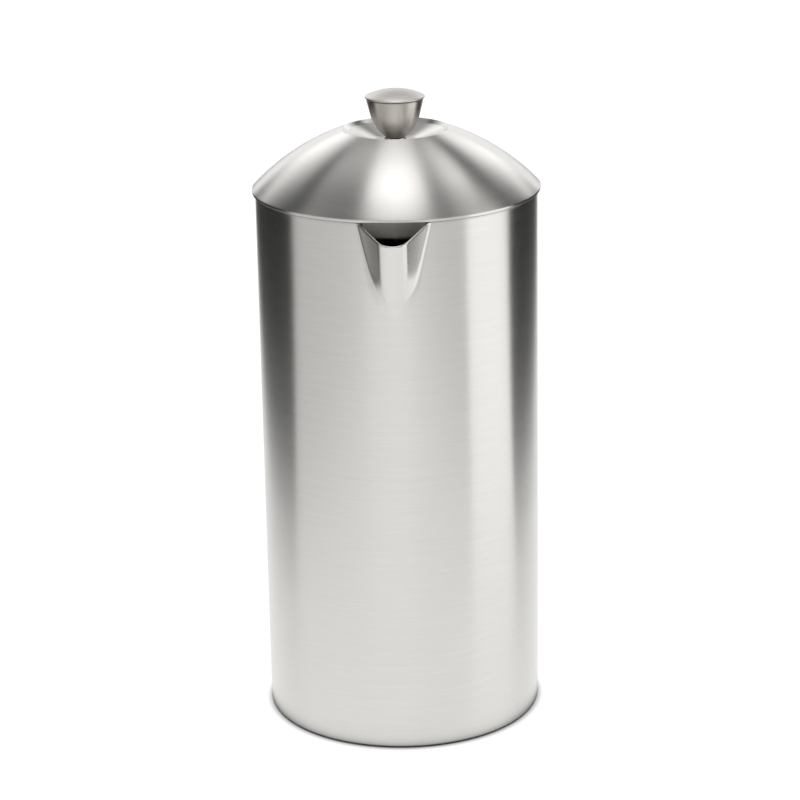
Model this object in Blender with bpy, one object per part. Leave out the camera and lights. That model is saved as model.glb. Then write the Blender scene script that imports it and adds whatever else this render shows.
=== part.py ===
"""A double-walled steel coffee press, standing on Z = 0 with its spout towards -Y.

The carafe is two drawn steel walls joined at the mouth, with a pressed spout and a bent handle.
The domed lid drops into the mouth on a collar. A rod slides through a bush in the lid and carries
a knob above it and a sprung mesh filter below. The knob rests on the bush: the press is pushed down.
Sizes are in metres, written through MM.
"""

import math

import bmesh
import bpy

MM = 0.001
ROUND_STEPS = 40  # facets of the large round pieces
KNOB_STEPS = 36
SMALL_STEPS = 24
HOLE_STEPS = 10
NOSE_STEPS = 4  # facets of half the spout's nose

FOOT_TURNS = (14, 30, 48, 68, 90)  # degrees round the nose, at the spout's lowest sections
CHAMFER = 0.3  # share of a thin edge that its corner loses

# Driving sizes
BODY_RADIUS = 51.0 * MM
BODY_HEIGHT = 198.0 * MM
SHEET = 0.7 * MM  # steel sheet of both walls, the lid and the spout
SEAT_GAP = 0.3 * MM  # between pieces that touch or are welded
WALL_GAP = 3.6 * MM  # air between the two walls
FLOOR_GAP = 6.0 * MM  # air under the liner's floor

# Foot and mouth of the carafe
FOOT_ROUND = 1.3 * MM
FOOT_HEM = 4.0 * MM
BASE_RIB_WIDTH = 10.0 * MM
BASE_RIB_INSET = 10.0 * MM  # from the disc's edge
BASE_RIB_RISE = 1.2 * MM
LINER_CORNER = 7.0 * MM
MOUTH_ROUND = 1.6 * MM
SHELL_EDGE_ROUND = 0.5 * MM

# Spout
SPOUT_HEIGHT = 32.0 * MM  # from the mouth down to where it runs out
SPOUT_REACH = 13.0 * MM  # tip beyond the body
SPOUT_TIP_DROP = 5.2 * MM  # tip below the mouth
SPOUT_HALF_WIDTH = 13.1 * MM  # at the mouth
NOSE_RADIUS = 6.0 * MM
FLANK_START = 1.5 * MM  # height above the spout's foot where flat flanks begin
SPOUT_SHEET = 0.9 * MM

# Handle
HANDLE_DROP = 22.0 * MM  # upper end below the mouth
HANDLE_SPAN = 92.0 * MM  # between the two ends
HANDLE_REACH = 42.0 * MM  # centre line beyond the body
HANDLE_BEND = 15.0 * MM
GRIP_HALF_WIDTH = 8.5 * MM
GRIP_HALF_DEPTH = 3.6 * MM
PAD_HALF_WIDTH = 12.0 * MM
PAD_HALF_HEIGHT = 8.0 * MM
PAD_THICKNESS = 1.2 * MM

# Lid
LID_OVERHANG = 1.1 * MM
LID_RISE = 22.1 * MM  # from the lid's edge to the crest of the dome
DOME_BOW = 2.35 * MM  # how far the dome bulges past a cone
LID_EDGE_ROUND = 0.6 * MM
CREST_RADIUS = 19.2 * MM
DISH_DEPTH = 4.4 * MM
DISH_STEP = 0.7 * MM
DISH_FLOOR_RADIUS = 8.0 * MM
COLLAR_DEPTH = 7.3 * MM  # below the mouth
COLLAR_CURL = 1.0 * MM  # turned in at the skirt's lower edge
COLLAR_CLEARANCE = 0.6 * MM

# Bush in the lid, and the rod through it
ROD_RADIUS = 2.5 * MM
THREAD_RADIUS = 2.0 * MM
ROD_CLEARANCE = 0.2 * MM
BUSH_WALL = 0.65 * MM
BUSH_FLANGE_WIDTH = 0.75 * MM
BUSH_FLANGE_HEIGHT = 1.05 * MM
BUSH_SHANK = 7.0 * MM
BUSH_NUT_HEIGHT = 3.4 * MM
BUSH_NUT_WALL = 1.7 * MM
WASHER_THICKNESS = 0.8 * MM
WASHER_WIDTH = 3.2 * MM

# Knob
KNOB_HEIGHT = 13.65 * MM
KNOB_FOOT_RADIUS = 4.2 * MM
KNOB_WAIST_RADIUS = 8.95 * MM  # where the straight flank meets the bowed foot
KNOB_TOP_RADIUS = 10.35 * MM
KNOB_FLANK = 5.7 * MM  # height of the straight flank
KNOB_BOW = 0.66 * MM  # how far the foot bulges past a cone
CAP_OVERHANG = 0.4 * MM
CAP_EDGE = 0.5 * MM
CAP_RISE = 2.45 * MM
CAP_SPIGOT_RADIUS = 5.0 * MM
CAP_SPIGOT_DEPTH = 2.0 * MM
KNOB_THREAD = 8.5 * MM

# Filter at the foot of the rod
GROUNDS_SPACE = 15.0 * MM  # liner floor to the cross plate
PLATE_SHEET = 0.8 * MM
MESH_THICKNESS = 0.4 * MM
FILTER_CLEARANCE = 0.35 * MM  # edge spring to the liner
SPRING_RADIUS = 1.45 * MM
SPRING_PLATE_RIM = 3.6 * MM
CROSS_PLATE_RIM = 2.0 * MM
HEM_WIDTH = 0.9 * MM
HEM_HEIGHT = 1.2 * MM
INNER_HOLE_RADIUS = 3.4 * MM
OUTER_HOLE_RADIUS = 4.4 * MM
INNER_HOLES = 6
OUTER_HOLES = 12
INNER_RING = 0.27  # place of each ring of holes, as a share of the way from washer to rim
OUTER_RING = 0.72
STOP_WASHER_WIDTH = 4.0 * MM
HUB_FLANGE_WIDTH = 6.0 * MM
HUB_FLANGE_HEIGHT = 1.2 * MM
HUB_NUT_WALL = 2.6 * MM
HUB_NUT_HEIGHT = 4.6 * MM
ROD_TIP = 1.2 * MM  # thread that shows below the hub nut

# Places that several pieces share
SHELL_TOP = BODY_HEIGHT - SHEET - SEAT_GAP
LINER_OUTER = BODY_RADIUS - SHEET - WALL_GAP
LINER_INNER = LINER_OUTER - SHEET
LINER_FLOOR = SHEET + FLOOR_GAP + SHEET
SPOUT_BOTTOM = BODY_HEIGHT - SPOUT_HEIGHT
SPOUT_SLOPE = SPOUT_REACH / (SPOUT_HEIGHT - SPOUT_TIP_DROP)
FLANK_SPREAD = (SPOUT_HALF_WIDTH - NOSE_RADIUS) / (SPOUT_HEIGHT - FLANK_START)
HANDLE_TOP = BODY_HEIGHT - HANDLE_DROP
HANDLE_BOTTOM = HANDLE_TOP - HANDLE_SPAN

LID_EDGE_RADIUS = BODY_RADIUS + LID_OVERHANG
LID_SEAT = BODY_HEIGHT + SEAT_GAP
CREST_HEIGHT = LID_SEAT + LID_RISE
DISH_FLOOR = CREST_HEIGHT - DISH_DEPTH
COLLAR_OUTER = LINER_INNER - COLLAR_CLEARANCE
COLLAR_BOTTOM = BODY_HEIGHT - COLLAR_DEPTH

BUSH_BORE = ROD_RADIUS + ROD_CLEARANCE
BUSH_SHANK_RADIUS = BUSH_BORE + BUSH_WALL
BUSH_HOLE = BUSH_SHANK_RADIUS + SEAT_GAP
BUSH_SEAT = DISH_FLOOR + SEAT_GAP
BUSH_TOP = BUSH_SEAT + BUSH_FLANGE_HEIGHT
KNOB_FOOT = BUSH_TOP + SEAT_GAP
KNOB_TOP = KNOB_FOOT + KNOB_HEIGHT

CROSS_PLATE_BOTTOM = LINER_FLOOR + GROUNDS_SPACE
MESH_BOTTOM = CROSS_PLATE_BOTTOM + PLATE_SHEET + SEAT_GAP
SPRING_PLATE_BOTTOM = MESH_BOTTOM + MESH_THICKNESS + SEAT_GAP
STOP_WASHER_BOTTOM = SPRING_PLATE_BOTTOM + PLATE_SHEET + SEAT_GAP
ROD_SHOULDER = STOP_WASHER_BOTTOM + WASHER_THICKNESS + SEAT_GAP
THREAD_BORE = THREAD_RADIUS + ROD_CLEARANCE
FILTER_RADIUS = LINER_INNER - FILTER_CLEARANCE
SPRING_CENTRE = FILTER_RADIUS - SPRING_RADIUS
SPRING_PLATE_RADIUS = SPRING_CENTRE - SPRING_RADIUS - SEAT_GAP
MESH_RADIUS = FILTER_RADIUS - HEM_WIDTH - SEAT_GAP
CROSS_PLATE_RADIUS = MESH_RADIUS - HEM_WIDTH
HUB_TOP = CROSS_PLATE_BOTTOM - SEAT_GAP

STEEL = (0.62, 0.61, 0.58, 1.0)
BRIGHT_STEEL = (0.72, 0.71, 0.69, 1.0)
FINISHES = {
    "brushed_shell": (STEEL, 0.32),
    "polished_steel": (BRIGHT_STEEL, 0.12),
    "satin_liner": (STEEL, 0.25),
    "wire_mesh": ((0.5, 0.5, 0.48, 1.0), 0.4),
}


def finish(name):
    """The named steel finish, made once."""
    found = bpy.data.materials.get(name)
    if found:
        return found
    colour, roughness = FINISHES[name]
    made = bpy.data.materials.new(name)
    made.use_nodes = True
    shader = made.node_tree.nodes["Principled BSDF"]
    shader.inputs["Base Color"].default_value = colour
    shader.inputs["Metallic"].default_value = 1.0
    shader.inputs["Roughness"].default_value = roughness
    return made


def solid(name, shape, finish_name):
    """An object from a bmesh, with doubled points joined and faces pointing out."""
    bmesh.ops.remove_doubles(shape, verts=shape.verts, dist=0.0001 * MM)
    bmesh.ops.dissolve_degenerate(shape, edges=shape.edges, dist=0.0001 * MM)
    bmesh.ops.recalc_face_normals(shape, faces=shape.faces)
    mesh = bpy.data.meshes.new(name)
    shape.to_mesh(mesh)
    shape.free()
    mesh.shade_smooth()
    mesh.set_sharp_from_angle(angle=math.radians(35))
    mesh.materials.append(finish(finish_name))
    made = bpy.data.objects.new(name, mesh)
    bpy.context.scene.collection.objects.link(made)
    return made


def cut(piece, cutter):
    """Takes the cutter's shape out of the piece."""
    boolean = piece.modifiers.new("cut_" + cutter.name, "BOOLEAN")
    boolean.operation = "DIFFERENCE"
    boolean.solver = "EXACT"
    boolean.object = cutter
    cutter.hide_render = True
    cutter.display_type = "WIRE"


def arc(centre, radius, start, end, steps):
    """Points on a circle in the radius-height plane, between two angles in degrees."""
    angles = [math.radians(start + (end - start) * i / steps) for i in range(steps + 1)]
    return [(centre[0] + radius * math.cos(a), centre[1] + radius * math.sin(a)) for a in angles]


def bowed(start, end, bow, steps):
    """Points on the arc from start to end that stands bow off their chord, to the left of it."""
    run, rise = end[0] - start[0], end[1] - start[1]
    chord = math.hypot(run, rise)
    radius = (chord * chord / 4 + bow * bow) / (2 * bow)
    half = math.asin(chord / 2 / radius)
    back = radius - bow
    centre = (
        (start[0] + end[0]) / 2 + back * rise / chord,
        (start[1] + end[1]) / 2 - back * run / chord,
    )
    middle = math.degrees(math.atan2(run, -rise))
    half = math.degrees(half)
    return arc(centre, radius, middle + half, middle - half, steps)


def turned(name, outline, finish_name, steps=ROUND_STEPS):
    """A solid turned about Z from an outline of (radius, height) points."""
    shape = bmesh.new()
    corners = [shape.verts.new((radius, 0.0, height)) for radius, height in outline]
    closing = corners[1:] + corners[:1]
    edges = [
        shape.edges.new(pair)
        for pair in zip(corners, closing)
        if pair[0].co.x > 0 or pair[1].co.x > 0
    ]
    bmesh.ops.spin(
        shape,
        geom=corners + edges,
        cent=(0, 0, 0),
        axis=(0, 0, 1),
        angle=math.tau,
        steps=steps,
        use_merge=True,
    )
    return solid(name, shape, finish_name)


def ring(name, inner, outer, low, high, finish_name, steps=ROUND_STEPS):
    """A plain ring of square section."""
    outline = [(inner, low), (outer, low), (outer, high), (inner, high)]
    return turned(name, outline, finish_name, steps)


def skinned(name, loops, finish_name):
    """A solid skinned over closed loops of points, the first and last of which are capped."""
    shape = bmesh.new()
    rows = [[shape.verts.new(point) for point in loop] for loop in loops]
    for low, high in zip(rows, rows[1:]):
        for i in range(len(low)):
            j = (i + 1) % len(low)
            shape.faces.new((low[i], low[j], high[j], high[i]))
    shape.faces.new(rows[0][::-1])
    shape.faces.new(rows[-1])
    return solid(name, shape, finish_name)


def spout_section(height, grow):
    """The spout's outline at one height: a round nose, flat flanks, and a back in the body."""
    nose = NOSE_RADIUS + grow
    centre = BODY_RADIUS + (height - SPOUT_BOTTOM) * SPOUT_SLOPE + grow - nose
    crossing = (BODY_RADIUS**2 + centre**2 - nose**2) / (2 * centre)
    half = nose if crossing < centre else math.sqrt(BODY_RADIUS**2 - crossing**2)
    half += FLANK_SPREAD * max(0.0, height - SPOUT_BOTTOM - FLANK_START)
    root = math.sqrt(BODY_RADIUS**2 - half**2)
    reach = math.hypot(half, root - centre)
    turn = math.atan2(half, root - centre) - math.acos(min(1.0, nose / reach))
    turns = [turn * i / NOSE_STEPS for i in range(NOSE_STEPS + 1)]
    side = [(nose * math.sin(a), centre + nose * math.cos(a)) for a in turns]
    side += [(half, root), (half, LINER_INNER - 4 * SHEET)]
    mirrored = [(-x, y) for x, y in side[:0:-1]]
    return [(x, -y, height) for x, y in side + mirrored]


def spout_form(name, grow):
    """The spout as a solid tongue from inside the liner to its nose, grown all round by grow."""
    nose = NOSE_RADIUS + grow
    low = [nose * (1 - math.cos(math.radians(a))) for a in FOOT_TURNS]
    heights = [SPOUT_BOTTOM + (reach - grow) / SPOUT_SLOPE for reach in low]
    top = BODY_HEIGHT + 2 * SPOUT_TIP_DROP
    start = heights[-1]
    heights += [start + (top - start) * i / 4 for i in range(1, 5)]
    loops = [spout_section(height, grow) for height in heights]
    return skinned(name, loops, "polished_steel")


def spout_top_cutter():
    """Everything above the mouth, and above the lip that slopes down to the tip."""
    wide = 3 * SPOUT_HALF_WIDTH
    corner = -math.sqrt(BODY_RADIUS**2 - SPOUT_HALF_WIDTH**2)
    tip = -(BODY_RADIUS + SPOUT_REACH)
    far = 2 * tip - corner
    section = [
        (far, BODY_HEIGHT - 2 * SPOUT_TIP_DROP),
        (corner, BODY_HEIGHT),
        (0.0, BODY_HEIGHT),
        (0.0, BODY_HEIGHT + 4 * SPOUT_TIP_DROP),
        (far, BODY_HEIGHT + 4 * SPOUT_TIP_DROP),
    ]
    loops = [[(x, y, z) for y, z in section] for x in (-wide, wide)]
    return skinned("spout_top_cutter", loops, "polished_steel")


def make_shell(notch):
    """Outer wall, with a rounded foot turned in to a hem."""
    inside = BODY_RADIUS - SHEET
    foot = (BODY_RADIUS - FOOT_ROUND, FOOT_ROUND)
    edge = (BODY_RADIUS - SHELL_EDGE_ROUND, SHELL_TOP - SHELL_EDGE_ROUND)
    outline = arc(edge, SHELL_EDGE_ROUND, 90, 0, 3)
    outline += arc(foot, FOOT_ROUND, 0, -90, 4)
    outline += [(BODY_RADIUS - FOOT_HEM, 0.0), (BODY_RADIUS - FOOT_HEM, SHEET)]
    outline += arc(foot, FOOT_ROUND - SHEET, -90, 0, 2)
    outline += [(inside, SHELL_TOP)]
    shell = turned("outer_shell", outline, "brushed_shell")
    cut(shell, notch)


def make_liner(notch):
    """Inner wall and floor, with a flange at the mouth that covers the shell's edge."""
    flange_round = 0.5 * SHEET
    wall_top = BODY_HEIGHT - MOUTH_ROUND
    floor_corner = (LINER_INNER - LINER_CORNER, LINER_FLOOR + LINER_CORNER)
    mouth_corner = (LINER_INNER + MOUTH_ROUND, wall_top)
    flange_edge = (BODY_RADIUS - flange_round, BODY_HEIGHT - flange_round)
    outline = [(0.0, LINER_FLOOR)]
    outline += arc(floor_corner, LINER_CORNER, -90, 0, 4)
    outline += arc(mouth_corner, MOUTH_ROUND, 180, 90, 3)
    outline += arc(flange_edge, flange_round, 90, -90, 4)
    outline += arc(mouth_corner, MOUTH_ROUND - SHEET, 90, 180, 2)
    outline += arc(floor_corner, LINER_CORNER + SHEET, 0, -90, 4)
    outline += [(0.0, LINER_FLOOR - SHEET)]
    liner = turned("inner_liner", outline, "satin_liner")
    cut(liner, notch)


def make_base():
    """Disc that closes the foot, flat at its centre and stiffened by a pressed ring."""
    rim = BODY_RADIUS - FOOT_HEM - SEAT_GAP
    rib = rim - BASE_RIB_INSET
    lower = [
        (rib - BASE_RIB_WIDTH, 0.0),
        (rib - BASE_RIB_WIDTH + BASE_RIB_RISE, BASE_RIB_RISE),
        (rib - BASE_RIB_RISE, BASE_RIB_RISE),
        (rib, 0.0),
        (rim, 0.0),
    ]
    upper = [(radius, height + SHEET) for radius, height in lower[::-1]]
    turned("base_plate", [(0.0, 0.0)] + lower + upper + [(0.0, SHEET)], "brushed_shell")


def make_spout(top_cutter):
    """Pressed spout that closes the notch through both walls."""
    spout = spout_form("pouring_spout", 0.0)
    hollow = spout_form("spout_hollow", -SPOUT_SHEET)
    over_top = BODY_HEIGHT + 4 * SPOUT_REACH
    inside = LINER_INNER + SEAT_GAP
    bore = ring("spout_back_cutter", 0.0, inside, 0.0, over_top, "polished_steel")
    for cutter in (hollow, top_cutter, bore):
        cut(spout, cutter)


def grip_path():
    """Centre line of the handle in the Y-Z plane, from the upper end to the lower one."""
    inner = BODY_RADIUS
    outer = BODY_RADIUS + HANDLE_REACH
    upper = arc((outer - HANDLE_BEND, HANDLE_TOP - HANDLE_BEND), HANDLE_BEND, 90, 0, 7)
    lower = arc((outer - HANDLE_BEND, HANDLE_BOTTOM + HANDLE_BEND), HANDLE_BEND, 0, -90, 7)
    return [(inner, HANDLE_TOP)] + upper + lower + [(inner, HANDLE_BOTTOM)]


def make_grip():
    """Flat oval bar bent to a C, its ends shaped to the pads."""
    points = grip_path()
    loops = []
    for i, (y, z) in enumerate(points):
        before, after = points[max(i - 1, 0)], points[min(i + 1, len(points) - 1)]
        run, rise = after[0] - before[0], after[1] - before[1]
        length = math.hypot(run, rise)
        normal = (-rise / length, run / length)
        loop = []
        for k in range(SMALL_STEPS // 2):
            a = math.tau * k / (SMALL_STEPS // 2)
            deep = GRIP_HALF_DEPTH * math.sin(a)
            loop.append((GRIP_HALF_WIDTH * math.cos(a), y + deep * normal[0], z + deep * normal[1]))
        loops.append(loop)
    grip = skinned("handle_grip", loops, "polished_steel")
    reach = BODY_RADIUS + SEAT_GAP + PAD_THICKNESS + SEAT_GAP
    cut(grip, ring("grip_end_cutter", 0.0, reach, 0.0, BODY_HEIGHT, "polished_steel"))


def make_pad(name, height):
    """Saddle plate with rounded ends, between the shell and one end of the handle."""
    near = BODY_RADIUS + SEAT_GAP
    straight = PAD_HALF_WIDTH - PAD_HALF_HEIGHT
    ends = arc((straight, 0.0), PAD_HALF_HEIGHT, 90, 10, 6)
    columns = [(-x, z) for x, z in ends[::-1]] + ends
    loops = []
    for x, z in columns:
        a = x / near
        section = [(near, -z), (near + PAD_THICKNESS, -z), (near + PAD_THICKNESS, z), (near, z)]
        loops.append([(r * math.sin(a), r * math.cos(a), height + up) for r, up in section])
    return skinned(name, loops, "polished_steel")


def make_dome():
    """Lid sheet: a bowed dome with a rounded edge, and a shallow dish at its crest."""
    edge = (LID_EDGE_RADIUS - LID_EDGE_ROUND, LID_SEAT + LID_EDGE_ROUND)
    crest = (CREST_RADIUS, CREST_HEIGHT)
    dome_foot = (LID_EDGE_RADIUS - CHAMFER * LID_EDGE_ROUND, edge[1] + 0.8 * LID_EDGE_ROUND)
    outer = bowed(crest, dome_foot, DOME_BOW, 6)
    dish = [
        (CREST_RADIUS - DISH_STEP, CREST_HEIGHT - 0.2 * DISH_STEP),
        (CREST_RADIUS - 1.5 * DISH_STEP, CREST_HEIGHT - DISH_STEP),
        (DISH_FLOOR_RADIUS, DISH_FLOOR),
        (BUSH_HOLE, DISH_FLOOR),
    ]
    inner_foot = (LID_EDGE_RADIUS - 2 * LID_EDGE_ROUND, LID_SEAT + 2 * LID_EDGE_ROUND)
    inner = bowed((CREST_RADIUS, CREST_HEIGHT - 1.05 * SHEET), inner_foot, DOME_BOW, 5)
    under_dish = [
        (BUSH_HOLE, DISH_FLOOR - SHEET),
        (DISH_FLOOR_RADIUS, DISH_FLOOR - SHEET),
        (CREST_RADIUS - 1.5 * DISH_STEP, CREST_HEIGHT - DISH_STEP - SHEET),
    ]
    outline = dish[::-1] + outer
    outline += arc(edge, LID_EDGE_ROUND, 0, -90, 3)
    outline += [(LID_EDGE_RADIUS - 2 * LID_EDGE_ROUND, LID_SEAT)]
    outline += inner[::-1] + under_dish[::-1]
    turned("lid_dome", outline, "brushed_shell")


def make_collar():
    """Ring under the lid: a flange that rests on the mouth, and a skirt that drops into it."""
    flange_outer = LID_EDGE_RADIUS - 2 * LID_EDGE_ROUND - SEAT_GAP
    inner = COLLAR_OUTER - SHEET
    curl = (COLLAR_OUTER - COLLAR_CURL, COLLAR_BOTTOM + COLLAR_CURL)
    outline = arc(curl, COLLAR_CURL - SHEET, 0, -90, 1)[::-1]
    outline += arc(curl, COLLAR_CURL, -90, 0, 2)
    outline += [
        (COLLAR_OUTER, LID_SEAT - SHEET),
        (COLLAR_OUTER + SHEET, LID_SEAT),
        (flange_outer, LID_SEAT),
        (flange_outer, LID_SEAT + SHEET),
        (COLLAR_OUTER, LID_SEAT + SHEET),
        (inner, LID_SEAT),
    ]
    turned("lid_collar", outline, "satin_liner")


def make_bush():
    """Flanged sleeve that guides the rod, clamped through the dish by a washer and a nut."""
    flange = BUSH_SHANK_RADIUS + BUSH_FLANGE_WIDTH
    bottom = BUSH_SEAT - BUSH_SHANK
    outline = [
        (BUSH_BORE, bottom),
        (BUSH_SHANK_RADIUS, bottom),
        (BUSH_SHANK_RADIUS, BUSH_SEAT),
        (flange, BUSH_SEAT),
        (flange, BUSH_TOP - CHAMFER * BUSH_FLANGE_HEIGHT),
        (flange - CHAMFER * BUSH_FLANGE_WIDTH, BUSH_TOP),
        (BUSH_BORE, BUSH_TOP),
    ]
    turned("rod_bush", outline, "polished_steel", SMALL_STEPS)
    washer_top = DISH_FLOOR - SHEET - SEAT_GAP
    ring(
        "bush_washer",
        BUSH_HOLE,
        BUSH_HOLE + WASHER_WIDTH,
        washer_top - WASHER_THICKNESS,
        washer_top,
        "satin_liner",
        SMALL_STEPS,
    )
    nut_top = washer_top - WASHER_THICKNESS - SEAT_GAP
    hex_nut("bush_nut", BUSH_HOLE, BUSH_HOLE + BUSH_NUT_WALL, nut_top - BUSH_NUT_HEIGHT, nut_top)


def hex_nut(name, bore, flat_radius, low, high):
    """Hexagon nut with a plain bore, flat_radius being half its width across flats."""
    shape = bmesh.new()
    corner = flat_radius / math.cos(math.radians(30))
    rows = []
    for height in (low, high):
        hexagon, hole = [], []
        for k in range(SMALL_STEPS):
            angle = math.tau * k / SMALL_STEPS
            across = (angle % math.radians(60)) - math.radians(30)
            radius = min(corner, flat_radius / math.cos(across))
            hexagon.append((radius * math.cos(angle), radius * math.sin(angle), height))
            hole.append((bore * math.cos(angle), bore * math.sin(angle), height))
        rows += [
            [shape.verts.new(point) for point in hexagon],
            [shape.verts.new(point) for point in hole],
        ]
    low_hex, low_hole, high_hex, high_hole = rows
    circuit = (low_hex, high_hex, high_hole, low_hole, low_hex)
    for row, following in zip(circuit, circuit[1:]):
        for i in range(SMALL_STEPS):
            j = (i + 1) % SMALL_STEPS
            shape.faces.new((row[i], row[j], following[j], following[i]))
    return solid(name, shape, "satin_liner")


def make_rod():
    """Rod from the filter to the knob, stepped down to a thread at both ends."""
    tip = HUB_TOP - HUB_FLANGE_HEIGHT - HUB_NUT_HEIGHT - ROD_TIP
    outline = [
        (0.0, tip),
        ((1 - CHAMFER) * THREAD_RADIUS, tip),
        (THREAD_RADIUS, tip + CHAMFER * THREAD_RADIUS),
        (THREAD_RADIUS, ROD_SHOULDER),
        (ROD_RADIUS, ROD_SHOULDER),
        (ROD_RADIUS, KNOB_FOOT - 0.5 * SEAT_GAP),
        (THREAD_RADIUS, KNOB_FOOT - 0.5 * SEAT_GAP),
        (THREAD_RADIUS, KNOB_FOOT + KNOB_THREAD),
        (0.0, KNOB_FOOT + KNOB_THREAD),
    ]
    turned("plunger_rod", outline, "polished_steel", SMALL_STEPS)


def make_knob():
    """Turned knob, flared upwards, and the domed cap set into its top."""
    socket = CAP_SPIGOT_RADIUS + SEAT_GAP
    waist = (KNOB_WAIST_RADIUS, KNOB_TOP - KNOB_FLANK)
    flank = bowed(waist, (KNOB_FOOT_RADIUS, KNOB_FOOT), KNOB_BOW, 7)
    outline = [(KNOB_TOP_RADIUS, KNOB_TOP)] + flank + [
        (THREAD_BORE, KNOB_FOOT),
        (THREAD_BORE, KNOB_FOOT + KNOB_THREAD + SEAT_GAP),
        (0.0, KNOB_FOOT + KNOB_THREAD + SEAT_GAP),
        (0.0, KNOB_TOP - CAP_SPIGOT_DEPTH - SEAT_GAP),
        (socket, KNOB_TOP - CAP_SPIGOT_DEPTH - SEAT_GAP),
        (socket, KNOB_TOP),
    ]
    turned("knob_body", outline, "brushed_shell", KNOB_STEPS)
    low = KNOB_TOP + SEAT_GAP
    radius = KNOB_TOP_RADIUS + CAP_OVERHANG
    sphere = (radius**2 + CAP_RISE**2) / (2 * CAP_RISE)
    half_angle = math.degrees(math.asin(radius / sphere))
    crown = arc((0.0, low + CAP_EDGE + CAP_RISE - sphere), sphere, 90, 90 - half_angle, 5)
    outline = crown + [
        (radius, low + CHAMFER * CAP_EDGE),
        (radius - CHAMFER * CAP_EDGE, low),
        (CAP_SPIGOT_RADIUS, low),
        (CAP_SPIGOT_RADIUS, low - CAP_SPIGOT_DEPTH),
        (0.0, low - CAP_SPIGOT_DEPTH),
    ]
    turned("knob_cap", outline, "brushed_shell", KNOB_STEPS)


def add_peg(shape, x, y, radius, low, high):
    """Adds an upright peg to a bmesh."""
    turns = [math.tau * i / HOLE_STEPS for i in range(HOLE_STEPS)]
    circle = [(x + radius * math.cos(a), y + radius * math.sin(a)) for a in turns]
    lower = [shape.verts.new((*point, low)) for point in circle]
    upper = [shape.verts.new((*point, high)) for point in circle]
    for i in range(HOLE_STEPS):
        j = (i + 1) % HOLE_STEPS
        shape.faces.new((lower[i], lower[j], upper[j], upper[i]))
    shape.faces.new(lower[::-1])
    shape.faces.new(upper)


def hole_cutter(name, rings, low, high):
    """Pegs for the holes of a plate, in rings of (ring radius, hole radius, count)."""
    shape = bmesh.new()
    for ring_radius, hole_radius, count in rings:
        for k in range(count):
            turn = math.tau * (k + 0.5) / count
            x, y = ring_radius * math.cos(turn), ring_radius * math.sin(turn)
            add_peg(shape, x, y, hole_radius, low, high)
    return solid(name, shape, "satin_liner")


def filter_plate(name, radius, low, rim, bore):
    """Perforated disc with a rim turned up, or down where rim is negative."""
    if rim > 0:
        outline = [
            (bore, low),
            (radius, low),
            (radius, low + rim),
            (radius - PLATE_SHEET, low + rim),
            (radius - PLATE_SHEET, low + PLATE_SHEET),
            (bore, low + PLATE_SHEET),
        ]
    else:
        outline = [
            (bore, low),
            (radius - PLATE_SHEET, low),
            (radius - PLATE_SHEET, low + rim),
            (radius, low + rim),
            (radius, low + PLATE_SHEET),
            (bore, low + PLATE_SHEET),
        ]
    plate = turned(name, outline, "satin_liner")
    span = radius - PLATE_SHEET - STOP_WASHER_WIDTH - THREAD_BORE
    start = STOP_WASHER_WIDTH + THREAD_BORE
    rings = [
        (start + INNER_RING * span, INNER_HOLE_RADIUS, INNER_HOLES),
        (start + OUTER_RING * span, OUTER_HOLE_RADIUS, OUTER_HOLES),
    ]
    reach = 2 * PLATE_SHEET
    cut(plate, hole_cutter(name + "_holes", rings, low - reach, low + PLATE_SHEET + reach))


def make_filter():
    """Filter stack on the rod's thread, from the stop washer down to the hub nut."""
    stop_top = STOP_WASHER_BOTTOM + WASHER_THICKNESS
    stop_outer = THREAD_BORE + STOP_WASHER_WIDTH
    ring(
        "stop_washer",
        THREAD_BORE,
        stop_outer,
        STOP_WASHER_BOTTOM,
        stop_top,
        "satin_liner",
        SMALL_STEPS,
    )
    filter_plate(
        "spring_plate",
        SPRING_PLATE_RADIUS,
        SPRING_PLATE_BOTTOM,
        SPRING_PLATE_RIM,
        THREAD_BORE,
    )
    hem_low = MESH_BOTTOM + 0.5 * MESH_THICKNESS - 0.5 * HEM_HEIGHT
    hem_top = hem_low + HEM_HEIGHT
    spring = arc((SPRING_CENTRE, hem_top + SEAT_GAP + SPRING_RADIUS), SPRING_RADIUS, 0, 360, 8)
    turned("edge_spring", spring[:-1], "satin_liner")
    mesh_top = MESH_BOTTOM + MESH_THICKNESS
    ring("mesh_screen", THREAD_BORE, MESH_RADIUS, MESH_BOTTOM, mesh_top, "wire_mesh")
    ring("mesh_hem", MESH_RADIUS + SEAT_GAP, FILTER_RADIUS, hem_low, hem_top, "satin_liner")
    filter_plate(
        "cross_plate",
        CROSS_PLATE_RADIUS,
        CROSS_PLATE_BOTTOM,
        -CROSS_PLATE_RIM,
        THREAD_BORE,
    )
    flange_low = HUB_TOP - HUB_FLANGE_HEIGHT
    nut_low = flange_low - HUB_NUT_HEIGHT
    nut_radius = THREAD_BORE + HUB_NUT_WALL
    outline = [
        (THREAD_BORE, nut_low),
        (nut_radius, nut_low),
        (nut_radius, flange_low),
        (THREAD_BORE + HUB_FLANGE_WIDTH, flange_low),
        (THREAD_BORE + HUB_FLANGE_WIDTH, HUB_TOP),
        (THREAD_BORE, HUB_TOP),
    ]
    turned("hub_nut", outline, "satin_liner", SMALL_STEPS)


def main():
    for old in list(bpy.data.objects):
        bpy.data.objects.remove(old)
    notch = spout_form("spout_notch", SEAT_GAP)
    make_shell(notch)
    make_liner(notch)
    make_base()
    make_spout(spout_top_cutter())
    make_grip()
    make_pad("handle_upper_pad", HANDLE_TOP)
    make_pad("handle_lower_pad", HANDLE_BOTTOM)
    make_dome()
    make_collar()
    make_bush()
    make_rod()
    make_knob()
    make_filter()


main()
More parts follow.
